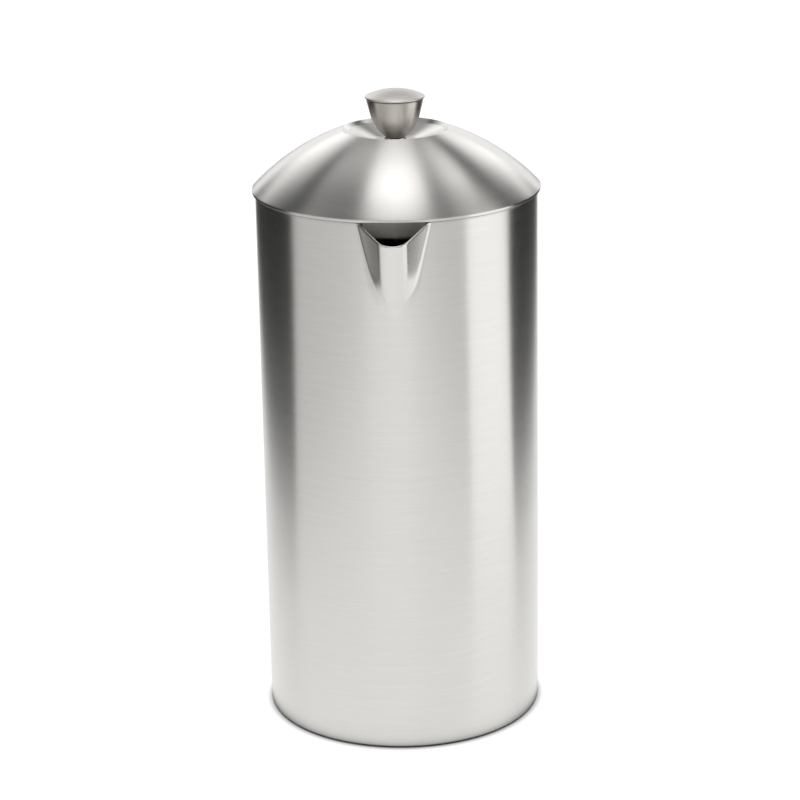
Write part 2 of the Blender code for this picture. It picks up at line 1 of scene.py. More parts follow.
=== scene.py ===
"""The look of a double-walled steel coffee press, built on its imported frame.

Every piece is made in millimetres round the vessel's axis, which is Z, with the spout towards -Y.
The sheet metal is turned or drawn at full smoothness; the filter's coil, wire cloth and holes are
grown by Geometry Nodes; the steel finishes share two shader groups.
"""

import math

import bmesh
import bpy
import numpy as np
from mathutils import Matrix, Vector


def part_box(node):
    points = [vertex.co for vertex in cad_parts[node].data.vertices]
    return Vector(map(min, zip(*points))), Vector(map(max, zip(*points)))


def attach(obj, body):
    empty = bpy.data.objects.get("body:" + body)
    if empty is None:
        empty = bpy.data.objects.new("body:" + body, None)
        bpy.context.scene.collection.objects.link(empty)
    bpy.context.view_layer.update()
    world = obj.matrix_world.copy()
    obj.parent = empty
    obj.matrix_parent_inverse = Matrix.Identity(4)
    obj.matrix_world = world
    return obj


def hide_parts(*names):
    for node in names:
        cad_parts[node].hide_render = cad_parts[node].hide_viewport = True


MM = 0.001
ROUND = 256  # segments round the vessel
SMALL_ROUND = 96  # segments round the knob and the rod

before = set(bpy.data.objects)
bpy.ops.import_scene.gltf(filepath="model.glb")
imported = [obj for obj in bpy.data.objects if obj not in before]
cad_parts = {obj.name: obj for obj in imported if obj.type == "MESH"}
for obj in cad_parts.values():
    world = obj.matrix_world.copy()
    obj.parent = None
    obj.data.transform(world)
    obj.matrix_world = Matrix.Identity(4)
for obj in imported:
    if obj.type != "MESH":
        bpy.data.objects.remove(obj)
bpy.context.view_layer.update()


def span(node):
    """A CAD node's lowest and highest corners, in millimetres."""
    low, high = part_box(node)
    return low / MM, high / MM


# ---------------------------------------------------------------- sizes, in millimetres

BODY = span("outer_shell")[1].x  # radius of the outer wall
MOUTH = span("inner_liner")[1].z  # height of the rim
SHEET = 0.7
SEAT = 0.3  # between pieces that touch
HEM_CLEARANCE = 0.35
LINER = span("mesh_hem")[1].x + HEM_CLEARANCE  # radius inside the liner
LINER_FLOOR = span("inner_liner")[0].z + SHEET
FOOT_ROUND = 1.3
FOOT_HEM = 4.0
LINER_CORNER = 7.0
MOUTH_ROUND = 1.6

SPOUT_LOWER = 0.37  # how far the spout's foot lies below its CAD solid's
SPOUT_FOOT = span("pouring_spout")[0].z - SPOUT_LOWER
SPOUT_TIP = -span("pouring_spout")[0].y
SPOUT_TIP_DROP = 5.2
SPOUT_SLOPE = (SPOUT_TIP - BODY) / (MOUTH - SPOUT_TIP_DROP - SPOUT_FOOT)
SPOUT_NARROWER = 0.5  # how much less than its CAD solid's half width the crease's is
SPOUT_HALF = span("pouring_spout")[1].x - SPOUT_NARROWER
SPOUT_SHEET = 0.9
SPOUT_FILLET = 1.2
SPOUT_BAND = 1.5  # width over which the body's wall rises into the spout's flanks
SPOUT_RUNOUT = SPOUT_FILLET / SPOUT_SLOPE + 0.2  # and the height over which it rises at the foot
NOSE = 6.0
LIP_ROUND = 0.45
LIP_BACK = 0.4  # from the lip's skin to where its height is read
FLANK_START = 1.5
FLANK_SPREAD = (SPOUT_HALF - NOSE) / (MOUTH - SPOUT_FOOT - FLANK_START)
LIP_CORNER = math.sqrt(BODY**2 - SPOUT_HALF**2)
LIP_SLOPE = SPOUT_TIP_DROP / (SPOUT_TIP - LIP_CORNER)

LID_EDGE, LID_SEAT = span("lid_dome")[1].x, span("lid_dome")[0].z
LID_EDGE_HEIGHT = 1.0
LID_ROLL = 1.2  # width of the rolled edge
WASHER_OVERLAP = 3.2  # of the bush's washer on the dish
CREST = span("lid_dome")[1].z
CREST_RADIUS = 19.2
DOME_BOW = 2.35
BUSH_FLANGE = 1.05
BUSH_LEDGE = 0.75  # width of the flange past the bush's sleeve
DISH_FLOOR = span("rod_bush")[1].z - BUSH_FLANGE - SEAT
KNOB_FOOT = span("knob_body")[0].z
KNOB_FLANK = 5.7  # height of the knob's straight flank
KNOB_WAIST = 8.95
KNOB_BOW = 0.66


# ---------------------------------------------------------------- outlines


def arc(centre, radius, start, end, steps):
    """Points on a circle in the radius-height plane, between two angles in degrees."""
    angles = [math.radians(start + (end - start) * i / steps) for i in range(steps + 1)]
    return [(centre[0] + radius * math.cos(a), centre[1] + radius * math.sin(a)) for a in angles]


def bowed(start, end, bow, steps):
    """Points on the arc from start to end that stands bow off their chord, to the left of it."""
    run, rise = end[0] - start[0], end[1] - start[1]
    chord = math.hypot(run, rise)
    radius = (chord * chord / 4 + bow * bow) / (2 * bow)
    half = math.degrees(math.asin(chord / 2 / radius))
    back = radius - bow
    middle_r, middle_z = (start[0] + end[0]) / 2, (start[1] + end[1]) / 2
    centre = (middle_r + back * rise / chord, middle_z - back * run / chord)
    middle = math.degrees(math.atan2(run, -rise))
    return arc(centre, radius, middle + half, middle - half, steps)


def rounded(corners, steps=5):
    """A closed outline through (radius, height, rounding) corners, each turned into an arc."""
    points = []
    for i, (r, z, rounding) in enumerate(corners):
        here = Vector((r, z))
        before = Vector(corners[i - 1][:2]) - here
        after = Vector(corners[(i + 1) % len(corners)][:2]) - here
        if not rounding or before.length < 1e-6 or after.length < 1e-6:
            points.append((r, z))
            continue
        before.normalize()
        after.normalize()
        half = math.acos(max(-1.0, min(1.0, before.dot(after)))) / 2
        reach = rounding / math.tan(half)
        centre = here + (before + after).normalized() * (rounding / math.sin(half))
        first, last = here + before * reach - centre, here + after * reach - centre
        turn = math.atan2(first.x * last.y - first.y * last.x, first.dot(last))
        for k in range(steps + 1):
            swung = Matrix.Rotation(turn * k / steps, 2) @ first
            points.append((centre.x + swung.x, centre.y + swung.y))
    return points


# ---------------------------------------------------------------- meshes


def placed(name, data):
    """A new object in the scene."""
    made = bpy.data.objects.new(name, data)
    bpy.context.scene.collection.objects.link(made)
    return made


def piece(name, points, faces, material, sharp=38.0, recalculate=True):
    """A mesh object from points in millimetres, its doubled points merged and faces outward."""
    mesh = bpy.data.meshes.new(name)
    mesh.from_pydata((np.asarray(points, float) * MM).tolist(), [], faces)
    shape = bmesh.new()
    shape.from_mesh(mesh)
    bmesh.ops.remove_doubles(shape, verts=shape.verts, dist=1e-6)
    bmesh.ops.dissolve_degenerate(shape, edges=shape.edges, dist=1e-7)
    if recalculate:
        bmesh.ops.recalc_face_normals(shape, faces=shape.faces)
    shape.to_mesh(mesh)
    shape.free()
    mesh.shade_smooth()
    mesh.set_sharp_from_angle(angle=math.radians(sharp))
    mesh.materials.append(material)
    return placed(name, mesh)


def grid_faces(rows, columns, wrap_rows=False, wrap_columns=False, start=0):
    """Quads over a grid of points that are numbered row by row."""
    faces = []
    for j in range(rows if wrap_rows else rows - 1):
        for i in range(columns if wrap_columns else columns - 1):
            a, b = start + j * columns + i, start + j * columns + (i + 1) % columns
            c = start + ((j + 1) % rows) * columns + (i + 1) % columns
            d = start + ((j + 1) % rows) * columns + i
            faces.append((a, b, c, d))
    return faces


def around(radius, angle, height):
    """A point from its angle round the axis, counted from the spout."""
    return (radius * math.sin(angle), -radius * math.cos(angle), height)


def turned(name, outline, material, segments=ROUND, sharp=38.0):
    """A closed solid turned about Z from a closed outline of (radius, height) points."""
    points = [
        around(r, math.tau * i / segments, z) for r, z in outline for i in range(segments)
    ]
    faces = [
        face
        for face in grid_faces(len(outline), segments, wrap_rows=True, wrap_columns=True)
        if any(abs(points[k][0]) + abs(points[k][1]) > 1e-6 for k in face)
    ]
    return piece(name, points, faces, material, sharp)


def joined(name, *parts):
    """Several meshes as one object."""
    shape = bmesh.new()
    material = parts[0].data.materials[0]
    for part in parts:
        shape.from_mesh(part.data)
        bpy.data.objects.remove(part)
    for face in shape.faces:
        face.material_index = 0
    mesh = bpy.data.meshes.new(name)
    shape.to_mesh(mesh)
    shape.free()
    mesh.materials.append(material)
    return placed(name, mesh)


def notched_sheet(name, front, back, edge, gaps, material):
    """A turned sheet from its two sides, left open by a gap of half angles at the spout."""
    columns = ROUND + 1
    outline = front + edge + back[::-1]
    openings = gaps + [gaps[-1]] * len(edge) + gaps[::-1]
    points = []
    for (r, z), gap in zip(outline, openings):
        for i in range(columns):
            points.append(around(r, gap + (math.tau - 2 * gap) * i / ROUND, z))
    faces = grid_faces(len(outline), columns)
    first, last = 0, (len(outline) - 1) * columns
    if outline[0][0] > 0:
        faces += [(first + i, last + i, last + i + 1, first + i + 1) for i in range(ROUND)]
    for side in (0, ROUND):
        for k in range(len(front) - 1):
            if gaps[k + 1] > 0:
                partner = len(outline) - 1 - k
                rows = (k, k + 1, partner - 1, partner)
                faces.append(tuple(row * columns + side for row in rows))
        rim = range(len(front) - 1, len(front) + len(edge) + 1)
        faces.append(tuple(row * columns + side for row in rim))
    return piece(name, points, faces, material)


# ---------------------------------------------------------------- the spout's form


def smooth_max(a, b, blend):
    """The larger of two values, rounded over where they are closer than blend."""
    near = max(blend - abs(a - b), 0.0) / blend
    return max(a, b) + near * near * blend / 4


class SpoutSection:
    """The spout's plan at one height, as a round nose with flat flanks back to the body."""

    def __init__(self, height, inset=0.0):
        self.nose = NOSE - inset
        self.centre = BODY + (height - SPOUT_FOOT) * SPOUT_SLOPE - NOSE
        crossing = (BODY**2 + self.centre**2 - self.nose**2) / (2 * self.centre)
        if crossing < self.centre:
            self.half = self.nose
        else:
            self.half = math.sqrt(max(BODY**2 - crossing**2, 0.0))
        self.half += FLANK_SPREAD * max(0.0, height - SPOUT_FOOT - FLANK_START)
        root = math.sqrt(BODY**2 - self.half**2)
        reach = math.hypot(self.half, root - self.centre)
        lean = math.atan2(self.half, root - self.centre)
        turn = lean - math.acos(min(1.0, self.nose / max(reach, 1e-9)))
        self.touch = (self.nose * math.sin(turn), self.centre + self.nose * math.cos(turn))
        self.crease = (self.half, root)

    def radius(self, angle):
        """Distance from the axis to the spout's skin at an angle from its middle."""
        side, ahead = math.sin(abs(angle)), math.cos(angle)
        touch_angle = math.atan2(*self.touch)
        inside = self.nose**2 - (self.centre * side) ** 2
        below_foot = self.half < 0.01
        if inside >= 0 and (below_foot or abs(angle) <= touch_angle):
            return self.centre * ahead + math.sqrt(inside)
        if below_foot:
            return BODY - 2 * NOSE
        run = self.crease[0] - self.touch[0]
        rise = self.crease[1] - self.touch[1]
        if math.hypot(run, rise) < 1e-3:
            deep = self.centre * ahead + math.sqrt(max(inside, 0.0))
            return deep if inside > 0 else BODY - 2 * NOSE
        across = side * rise - ahead * run
        reach = (self.touch[0] * rise - self.touch[1] * run) / across if across else 0.0
        return max(reach, BODY - 2 * NOSE) if reach > 0 else BODY - 2 * NOSE


def spout_skin(angle, height):
    """Radius of the body's outer skin where the spout grows out of it."""
    return smooth_max(BODY, SpoutSection(height).radius(angle), SPOUT_FILLET)


def contour_heights(foot, wide, rows):
    """Heights up the spout's outline, closest together round its foot."""
    low_rows = rows // 3
    lifts = [wide * (1 - math.cos(math.pi / 2 * k / low_rows)) for k in range(low_rows + 1)]
    heights = [foot + lift / SPOUT_SLOPE for lift in lifts]
    top = MOUTH - LIP_ROUND
    rest = rows - low_rows
    return heights + [heights[-1] + (top - heights[-1]) * k / rest for k in range(1, rest + 1)]


def crease_point(height):
    """Where the spout meets the wall at a height, as distance round the wall and height."""
    half = SpoutSection(height).half if height > SPOUT_FOOT else 0.0
    return Vector((BODY * math.asin(half / BODY), height))


def spout_border(heights):
    """The spout's outer border, a band's width outside its crease, as (half angle, height)."""
    creases = [crease_point(height) for height in heights]
    border = []
    for k, here in enumerate(creases):
        before, after = creases[max(k - 1, 0)], creases[min(k + 1, len(creases) - 1)]
        run = (after - before).normalized()
        outward = Vector((run.y, -run.x)) if k else Vector((0.0, -1.0))
        level = 1 - (k / (len(creases) - 1)) ** 2
        place = here + Vector((outward.x * SPOUT_BAND, outward.y * level * SPOUT_RUNOUT))
        border.append((place.x / BODY, place.y))
    return border


def throat_half(height):
    """Half width of the opening through the liner at a height."""
    if height <= THROAT_FOOT:
        return 0.0
    return SpoutSection(height, inset=SPOUT_SHEET).half


SPOUT_ROWS = 60
CREASE = contour_heights(SPOUT_FOOT, NOSE, SPOUT_ROWS)
BORDER = spout_border(CREASE)
THROAT_FOOT = SPOUT_FOOT + SPOUT_SHEET / SPOUT_SLOPE
THROAT = contour_heights(THROAT_FOOT, NOSE - SPOUT_SHEET, SPOUT_ROWS)


# ---------------------------------------------------------------- carafe


def make_outer_shell(material):
    """Drawn outer wall with a rolled foot, open where the spout is set in."""
    foot = (BODY - FOOT_ROUND, FOOT_ROUND)
    front = [(BODY - FOOT_HEM, 0.0)] + arc(foot, FOOT_ROUND, -90, 0, 8)
    back = [(BODY - FOOT_HEM, SHEET)] + arc(foot, FOOT_ROUND - SHEET, -90, 0, 8)
    gaps = [0.0] * len(front)
    top = MOUTH - SHEET - 0.02
    for angle, height in BORDER:
        front.append((BODY, min(height, top)))
        back.append((BODY - SHEET, min(height, top)))
        gaps.append(angle)
    edge = [(BODY - 0.03, top + 0.01), (BODY - SHEET + 0.03, top + 0.01)]
    return notched_sheet("carafe_outer_wall", front, back, edge, gaps, material)


def make_liner(material):
    """Inner wall and floor, with a flange over the mouth."""
    corner = (LINER - LINER_CORNER, LINER_FLOOR + LINER_CORNER)
    front = [(0.0, LINER_FLOOR), (LINER / 2, LINER_FLOOR)] + arc(corner, LINER_CORNER, -90, 0, 10)
    back = [(0.0, LINER_FLOOR - SHEET), (LINER / 2, LINER_FLOOR - SHEET)]
    back += arc(corner, LINER_CORNER + SHEET, -90, 0, 10)
    gaps = [0.0] * len(front)
    lip = MOUTH - MOUTH_ROUND
    for height in THROAT:
        if height < lip:
            front.append((LINER, height))
            back.append((LINER + SHEET, height))
            gaps.append(math.asin(throat_half(height) / LINER))
    mouth = (LINER + MOUTH_ROUND, lip)
    soft = 0.35
    rim = arc(mouth, MOUTH_ROUND, 180, 90, 6) + [(BODY - soft, MOUTH)]
    under = arc(mouth, MOUTH_ROUND - SHEET, 180, 90, 6) + [(BODY - soft, MOUTH - SHEET)]
    side = math.asin(throat_half(MOUTH) / LINER)
    outer_side = BORDER[-1][0]
    for point, below in zip(rim, under):
        share = (point[0] - LINER) / (BODY - LINER)
        front.append(point)
        back.append(below)
        gaps.append(side + (outer_side - side) * share)
    edge = arc((BODY - soft, MOUTH - soft), soft, 72, 0, 4) + [(BODY, MOUTH - SHEET)]
    return notched_sheet("carafe_liner", front, back, edge, gaps, material)


def lip_height(ahead):
    """Height of the spout's lip at a distance in front of the axis."""
    return MOUTH - max(0.0, ahead - LIP_CORNER) * LIP_SLOPE


def make_spout(material):
    """Pressed spout: a skin blended into the body, a rounded lip and a channel to the liner."""
    columns, lip_steps, wall_share = 96, 6, 0.9
    outer, inner = [], []
    for crease, (border, border_height), high in zip(CREASE, BORDER, THROAT):
        outer_row, inner_row = [], []
        fold = crease_point(crease).x / BODY
        section = SpoutSection(high, inset=SPOUT_SHEET)
        crease_angle = math.atan2(*section.crease) if high > THROAT_FOOT else 0.0
        blend = max(0.0, (crease - SPOUT_FOOT - 2 * NOSE) / (MOUTH - SPOUT_FOOT - 2 * NOSE)) ** 1.3
        for i in range(columns + 1):
            place = 2 * i / columns - 1
            side = 1 if place > 0 else -1
            if abs(place) > wall_share:
                share = (abs(place) - wall_share) / (1 - wall_share)
                angle = side * (fold + (border - fold) * share)
                low = crease + (border_height - crease) * share
            else:
                angle, low = fold * place / wall_share, crease
            height = low
            for _ in range(4):
                radius = spout_skin(angle, height)
                drop = MOUTH - lip_height((radius - LIP_BACK) * math.cos(angle))
                height = low - drop * blend
            outer_row.append(around(radius, angle, height))
            reach = min(1.0, abs(place) / wall_share)
            angle = crease_angle * reach * side
            radius, height = LINER, high
            for _ in range(4):
                inside = SpoutSection(height, inset=SPOUT_SHEET)
                radius = inside.radius(angle) if height > THROAT_FOOT else BODY
                drop = MOUTH - lip_height((radius + LIP_BACK) * math.cos(angle))
                height = high - drop * blend
            x, y, z = around(max(radius, BODY - 1.0), angle, height)
            if abs(place) > wall_share:
                share = (abs(place) - wall_share) / (1 - wall_share)
                back_y = -math.sqrt(LINER**2 - x**2)
                y = y + (back_y - y) * share
            inner_row.append((x, y, z))
        outer.append(outer_row)
        inner.append(inner_row)
    lip = []
    for k in range(1, lip_steps):
        row = []
        for start, end in zip(outer[-1], inner[-1]):
            start, end = Vector(start), Vector(end)
            width = (end - start).length
            ease = min(LIP_ROUND, width / 2)
            turn = math.pi * k / lip_steps
            along = ease * (1 - math.cos(turn)) if k <= lip_steps / 2 else width - ease * (
                1 + math.cos(turn)
            )
            point = start.lerp(end, along / max(width, 1e-9))
            point.z += LIP_ROUND * math.sin(turn)
            row.append(tuple(point))
        lip.append(row)
    rows = outer + lip + inner[::-1]
    points = [point for row in rows for point in row]
    count = columns + 1
    faces = grid_faces(len(rows), count)
    for side in (0, columns):
        for k in range(len(outer) - 1):
            partner = len(rows) - 1 - k
            faces.append(tuple(row * count + side for row in (k, k + 1, partner - 1, partner)))
        ring = range(len(outer) - 1, len(outer) + len(lip) + 1)
        faces.append(tuple(row * count + side for row in ring))
    return piece("pressed_spout", points, faces, material, sharp=50)


def make_base(material):
    """Disc in the foot, with a pressed stiffening ring."""
    rim = span("base_plate")[1].x
    rib = rim - 10.0
    outline = rounded(
        [
            (0.0, 0.0, 0),
            (rib - 10.0, 0.0, 0.8),
            (rib - 8.8, 1.2, 0.8),
            (rib - 1.2, 1.2, 0.8),
            (rib, 0.0, 0.8),
            (rim, 0.0, 0.25),
            (rim, SHEET, 0.1),
            (rib, SHEET, 0.8),
            (rib - 1.2, SHEET + 1.2, 0.8),
            (rib - 8.8, SHEET + 1.2, 0.8),
            (rib - 10.0, SHEET, 0.8),
            (0.0, SHEET, 0),
        ],
        steps=4,
    )
    return turned("base_disc", outline, material)


# ---------------------------------------------------------------- handle


HANDLE_LOW, HANDLE_HIGH = span("handle_grip")
GRIP_HALF_WIDTH = HANDLE_HIGH.x
GRIP_HALF_DEPTH = 3.6
HANDLE_BEND = 15.0
SADDLE_SHEET = 1.2
SADDLE_HALF_WIDTH = 12.0


def grip_route(steps=28):
    """Centre line of the handle from its upper end, as (outward, height) points."""
    outer = HANDLE_HIGH.y - GRIP_HALF_DEPTH
    top = HANDLE_HIGH.z - GRIP_HALF_DEPTH
    bottom = HANDLE_LOW.z + GRIP_HALF_DEPTH
    start = BODY + SEAT + SADDLE_SHEET + SEAT / 2
    upper = arc((outer - HANDLE_BEND, top - HANDLE_BEND), HANDLE_BEND, 90, 0, steps)
    lower = arc((outer - HANDLE_BEND, bottom + HANDLE_BEND), HANDLE_BEND, 0, -90, steps)
    return [(start, top), (start + 3.0, top)] + upper + lower + [(start + 3.0, bottom), (start, bottom)]


def make_grip(material):
    """Oval bar bent into a handle, its ends shaped to the saddles."""
    around_bar = 48
    route = grip_route()
    rows = []
    for i, (y, z) in enumerate(route):
        before, after = route[max(i - 1, 0)], route[min(i + 1, len(route) - 1)]
        run, rise = after[0] - before[0], after[1] - before[1]
        length = math.hypot(run, rise)
        at_end = i in (0, len(route) - 1)
        row = []
        for k in range(around_bar):
            turn = math.tau * k / around_bar
            across = GRIP_HALF_WIDTH * math.copysign(abs(math.cos(turn)) ** 0.8, math.cos(turn))
            deep = GRIP_HALF_DEPTH * math.copysign(abs(math.sin(turn)) ** 0.9, math.sin(turn))
            back = y - math.sqrt(y * y - across * across) if at_end else 0.0
            row.append((across, y - deep * rise / length - back, z + deep * run / length))
        rows.append(row)
    points = [point for row in rows for point in row]
    faces = grid_faces(len(rows), around_bar, wrap_columns=True)
    last = (len(rows) - 1) * around_bar
    faces.append(tuple(range(around_bar)))
    faces.append(tuple(last + k for k in range(around_bar)))
    return piece("handle_bar", points, faces, material)


def make_saddle(name, node, material):
    """Curved plate with round ends, between the body and the handle."""
    low, high = span(node)
    middle = (low.z + high.z) / 2
    half_height = (high.z - low.z) / 2
    near, soft = BODY + SEAT, 0.45
    steps = 96
    layers = [(0.0, 0.25), (0.25, 0.0)]
    layers += [
        (SADDLE_SHEET - soft + soft * math.sin(a), soft * (1 - math.cos(a)))
        for a in (0.0, math.pi / 8, math.pi / 4, 3 * math.pi / 8, math.pi / 2)
    ]
    points = []
    for lift, inset in layers:
        reach = half_height - inset
        for k in range(steps):
            turn = math.tau * k / steps
            side = math.cos(turn) if abs(math.cos(turn)) > 1e-9 else 0.0
            across = reach * side
            if side:
                across += (SADDLE_HALF_WIDTH - half_height) * math.copysign(1, side)
            radius = near + lift
            wrap = across / near
            height = middle + reach * math.sin(turn)
            points.append((radius * math.sin(wrap), radius * math.cos(wrap), height))
    faces = grid_faces(len(layers), steps, wrap_columns=True)
    half, quarter = steps // 2, steps // 4
    for base in (0, (len(layers) - 1) * steps):
        for k in range(-quarter, quarter):
            corners = (k % steps, (k + 1) % steps, (half - k - 1) % steps, (half - k) % steps)
            faces.append(tuple(base + corner for corner in dict.fromkeys(corners)))
    return piece(name, points, faces, material)


# ---------------------------------------------------------------- lid


def make_dome(material):
    """Spun lid sheet: bowed dome, rolled edge, and a dish pressed into its crest."""
    foot = (LID_EDGE, LID_SEAT + LID_EDGE_HEIGHT)
    inner_foot = (LID_EDGE - LID_ROLL, LID_SEAT + 0.2)
    outer = bowed((CREST_RADIUS, CREST), foot, DOME_BOW, 28)
    inner = bowed((CREST_RADIUS - 0.4, CREST - SHEET), inner_foot, DOME_BOW, 28)
    hole = abs(span("bush_washer")[0].x) - WASHER_OVERLAP
    shoulder = 0.7
    dish = rounded(
        [
            (hole, DISH_FLOOR, 0.1),
            (8.0, DISH_FLOOR, 5.0),
            (CREST_RADIUS - 2.2 * shoulder, CREST - 1.7 * shoulder, 1.2),
            (CREST_RADIUS - 0.3 * shoulder, CREST, 0.0),
        ],
        steps=8,
    )
    dish = [point for point in dish if point[1] < CREST - 0.02]
    under = [(r, z - SHEET) for r, z in dish]
    roll = [(*outer.pop(), 0.25), (LID_EDGE, LID_SEAT, 0.25), (LID_EDGE - LID_ROLL, LID_SEAT, 0.0)]
    outline = rounded([(*point, 0.0) for point in dish + outer] + roll)
    outline += inner[::-1] + under[::-1]
    return turned("lid_dome_sheet", outline, material, sharp=30)


def make_collar(material):
    """Ring under the lid that drops into the mouth."""
    low, high = span("lid_collar")
    skirt = LINER - 0.6
    curl = 1.0
    outline = rounded(
        [
            (skirt - curl, low.z, 0.2),
            (skirt, low.z, curl - 0.01),
            (skirt, LID_SEAT, 0.6),
            (high.x, LID_SEAT, 0.2),
            (high.x, LID_SEAT + SHEET, 0.2),
            (skirt - SHEET, LID_SEAT + SHEET, 1.2),
            (skirt - SHEET, low.z + SHEET, 0.25),
            (skirt - curl, low.z + SHEET, 0.0),
        ]
    )
    return turned("lid_collar_ring", outline, material)


def make_bush(material):
    """Flanged sleeve that guides the rod."""
    low, high = span("rod_bush")
    bore = span("plunger_rod")[1].x + 0.2
    shank = bore + 0.65
    outline = rounded(
        [
            (bore, low.z, 0.15),
            (shank, low.z, 0.2),
            (shank, high.z - BUSH_FLANGE, 0.0),
            (high.x, high.z - BUSH_FLANGE, 0.15),
            (high.x, high.z, 0.45),
            (bore, high.z, 0.2),
        ]
    )
    return turned("guide_bush", outline, material, SMALL_ROUND)


def make_ring(name, node, bore, soft, material):
    """A flat washer with softened edges."""
    low, high = span(node)
    corners = [(bore, low.z), (high.x, low.z), (high.x, high.z), (bore, high.z)]
    return turned(name, rounded([c + (soft,) for c in corners], 3), material, SMALL_ROUND)


def hexagon(name, flat, bore, levels, material):
    """A bored hexagon from (height, corner chamfer) levels."""
    steps = 48
    turns = [math.tau * k / steps for k in range(steps)]
    points = []
    for height, chamfer in levels:
        limit = flat / math.cos(math.radians(30)) - chamfer
        for turn in turns:
            off = turn % math.radians(60) - math.radians(30)
            points.append(around(min(flat / math.cos(off), limit), turn, height))
    for height in (levels[-1][0], levels[0][0]):
        points += [around(bore, turn, height) for turn in turns]
    faces = grid_faces(len(levels) + 2, steps, wrap_rows=True, wrap_columns=True)
    return piece(name, points, faces, material, sharp=25)


def make_nut(name, node, bore, material):
    """Hexagon nut with chamfered corners."""
    low, high = span(node)
    bevel = 0.5
    levels = ((low.z, bevel), (low.z + bevel, 0.0), (high.z - bevel, 0.0), (high.z, bevel))
    return hexagon(name, high.y, bore, levels, material)


# ---------------------------------------------------------------- knob


def make_knob(material):
    """Flared knob turned from bar."""
    low, high = span("knob_body")
    foot = (4.2, low.z)
    flank = bowed((KNOB_WAIST, high.z - KNOB_FLANK), foot, KNOB_BOW, 24)
    bore = span("plunger_rod")[1].x
    outline = [(high.x - 0.2, high.z), (high.x, high.z - 0.2)] + flank
    outline += [(bore, low.z), (bore, low.z + 8.0), (0.0, low.z + 8.0), (0.0, high.z)]
    return turned("knob_cone", outline, material, SMALL_ROUND, sharp=30)


def make_cap(material):
    """Domed cap set into the knob's top."""
    low, high = span("knob_cap")
    edge, rise = 0.5, 2.45
    base = high.z - rise - edge
    sphere = (high.x**2 + rise**2) / (2 * rise)
    spread = math.degrees(math.asin((high.x - 0.25) / sphere))
    crown = arc((0.0, high.z - sphere), sphere, 90, 90 - spread, 14)
    side = arc((high.x - 0.2, base + edge - 0.2), 0.2, 60, 0, 3)
    under = arc((high.x - 0.2, base + 0.2), 0.2, 0, -90, 4)
    outline = crown + side + under + [(5.0, base), (5.0, low.z), (0.0, low.z)]
    return turned("knob_crown", outline, material, SMALL_ROUND, sharp=30)


# ---------------------------------------------------------------- geometry-node helpers


def add_node(tree, kind, links=None, **settings):
    """A node with its settings, and its inputs linked to sockets or set to values."""
    made = tree.nodes.new(kind)
    for name, value in settings.items():
        setattr(made, name, value)
    for name, value in (links or {}).items():
        socket = made.inputs[name]
        if isinstance(value, bpy.types.NodeSocket):
            tree.links.new(value, socket)
        else:
            socket.default_value = value
    return made


def math_node(tree, operation, *values):
    """The result of a Math node."""
    made = add_node(tree, "ShaderNodeMath", dict(enumerate(values)), operation=operation)
    return made.outputs[0]


def vector_node(tree, operation, *values):
    """The result of a Vector Math node."""
    made = add_node(tree, "ShaderNodeVectorMath", dict(enumerate(values)), operation=operation)
    return made.outputs["Value" if operation in ("LENGTH", "DOT_PRODUCT") else "Vector"]


def vector(tree, **parts):
    """A vector from its X, Y and Z parts."""
    return add_node(tree, "ShaderNodeCombineXYZ", parts).outputs[0]


def across_axis(tree, place):
    """The part of a place that lies square to the axis."""
    return vector_node(tree, "MULTIPLY", place, (1.0, 1.0, 0.0))


def circle(tree, steps, radius):
    """A circle as a curve."""
    sizes = {"Resolution": steps, "Radius": radius}
    return add_node(tree, "GeometryNodeCurvePrimitiveCircle", sizes).outputs[0]


def shifted(tree, geometry, offset):
    """Geometry with its points moved."""
    links = {"Geometry": geometry, "Offset": offset}
    return add_node(tree, "GeometryNodeSetPosition", links).outputs[0]


def growth_tree(name, sizes, counts=()):
    """A Geometry Nodes tree with named size and count inputs and a material input."""
    tree = bpy.data.node_groups.new(name, "GeometryNodeTree")
    tree.interface.new_socket("Geometry", in_out="INPUT", socket_type="NodeSocketGeometry")
    tree.interface.new_socket("Geometry", in_out="OUTPUT", socket_type="NodeSocketGeometry")
    for label in sizes:
        tree.interface.new_socket(label, in_out="INPUT", socket_type="NodeSocketFloat")
    for label in counts:
        tree.interface.new_socket(label, in_out="INPUT", socket_type="NodeSocketInt")
    tree.interface.new_socket("Material", in_out="INPUT", socket_type="NodeSocketMaterial")
    return tree, tree.nodes.new("NodeGroupInput").outputs


def end_tree(tree, geometry, material):
    """Realizes the geometry, gives it its material and ends the tree."""
    real = add_node(tree, "GeometryNodeRealizeInstances", {"Geometry": geometry})
    painted = add_node(
        tree, "GeometryNodeSetMaterial", {"Geometry": real.outputs[0], "Material": material}
    )
    add_node(tree, "NodeGroupOutput", {"Geometry": painted.outputs[0]})


def grown(name, tree, values, material):
    """A plain mesh object made by a Geometry Nodes tree from values in millimetres."""
    seed = placed(name + "_seed", bpy.data.meshes.new(name + "_seed"))
    modifier = seed.modifiers.new("growth", "NODES")
    modifier.node_group = tree
    for item in tree.interface.items_tree:
        if item.in_out == "INPUT" and item.name in values:
            value = values[item.name]
            modifier[item.identifier] = value if isinstance(value, int) else value * MM
        elif item.in_out == "INPUT" and item.name == "Material":
            modifier[item.identifier] = material
    depsgraph = bpy.context.evaluated_depsgraph_get()
    mesh = bpy.data.meshes.new_from_object(seed.evaluated_get(depsgraph))
    bpy.data.objects.remove(seed)
    mesh.name = name
    return placed(name, mesh)


# ---------------------------------------------------------------- filter


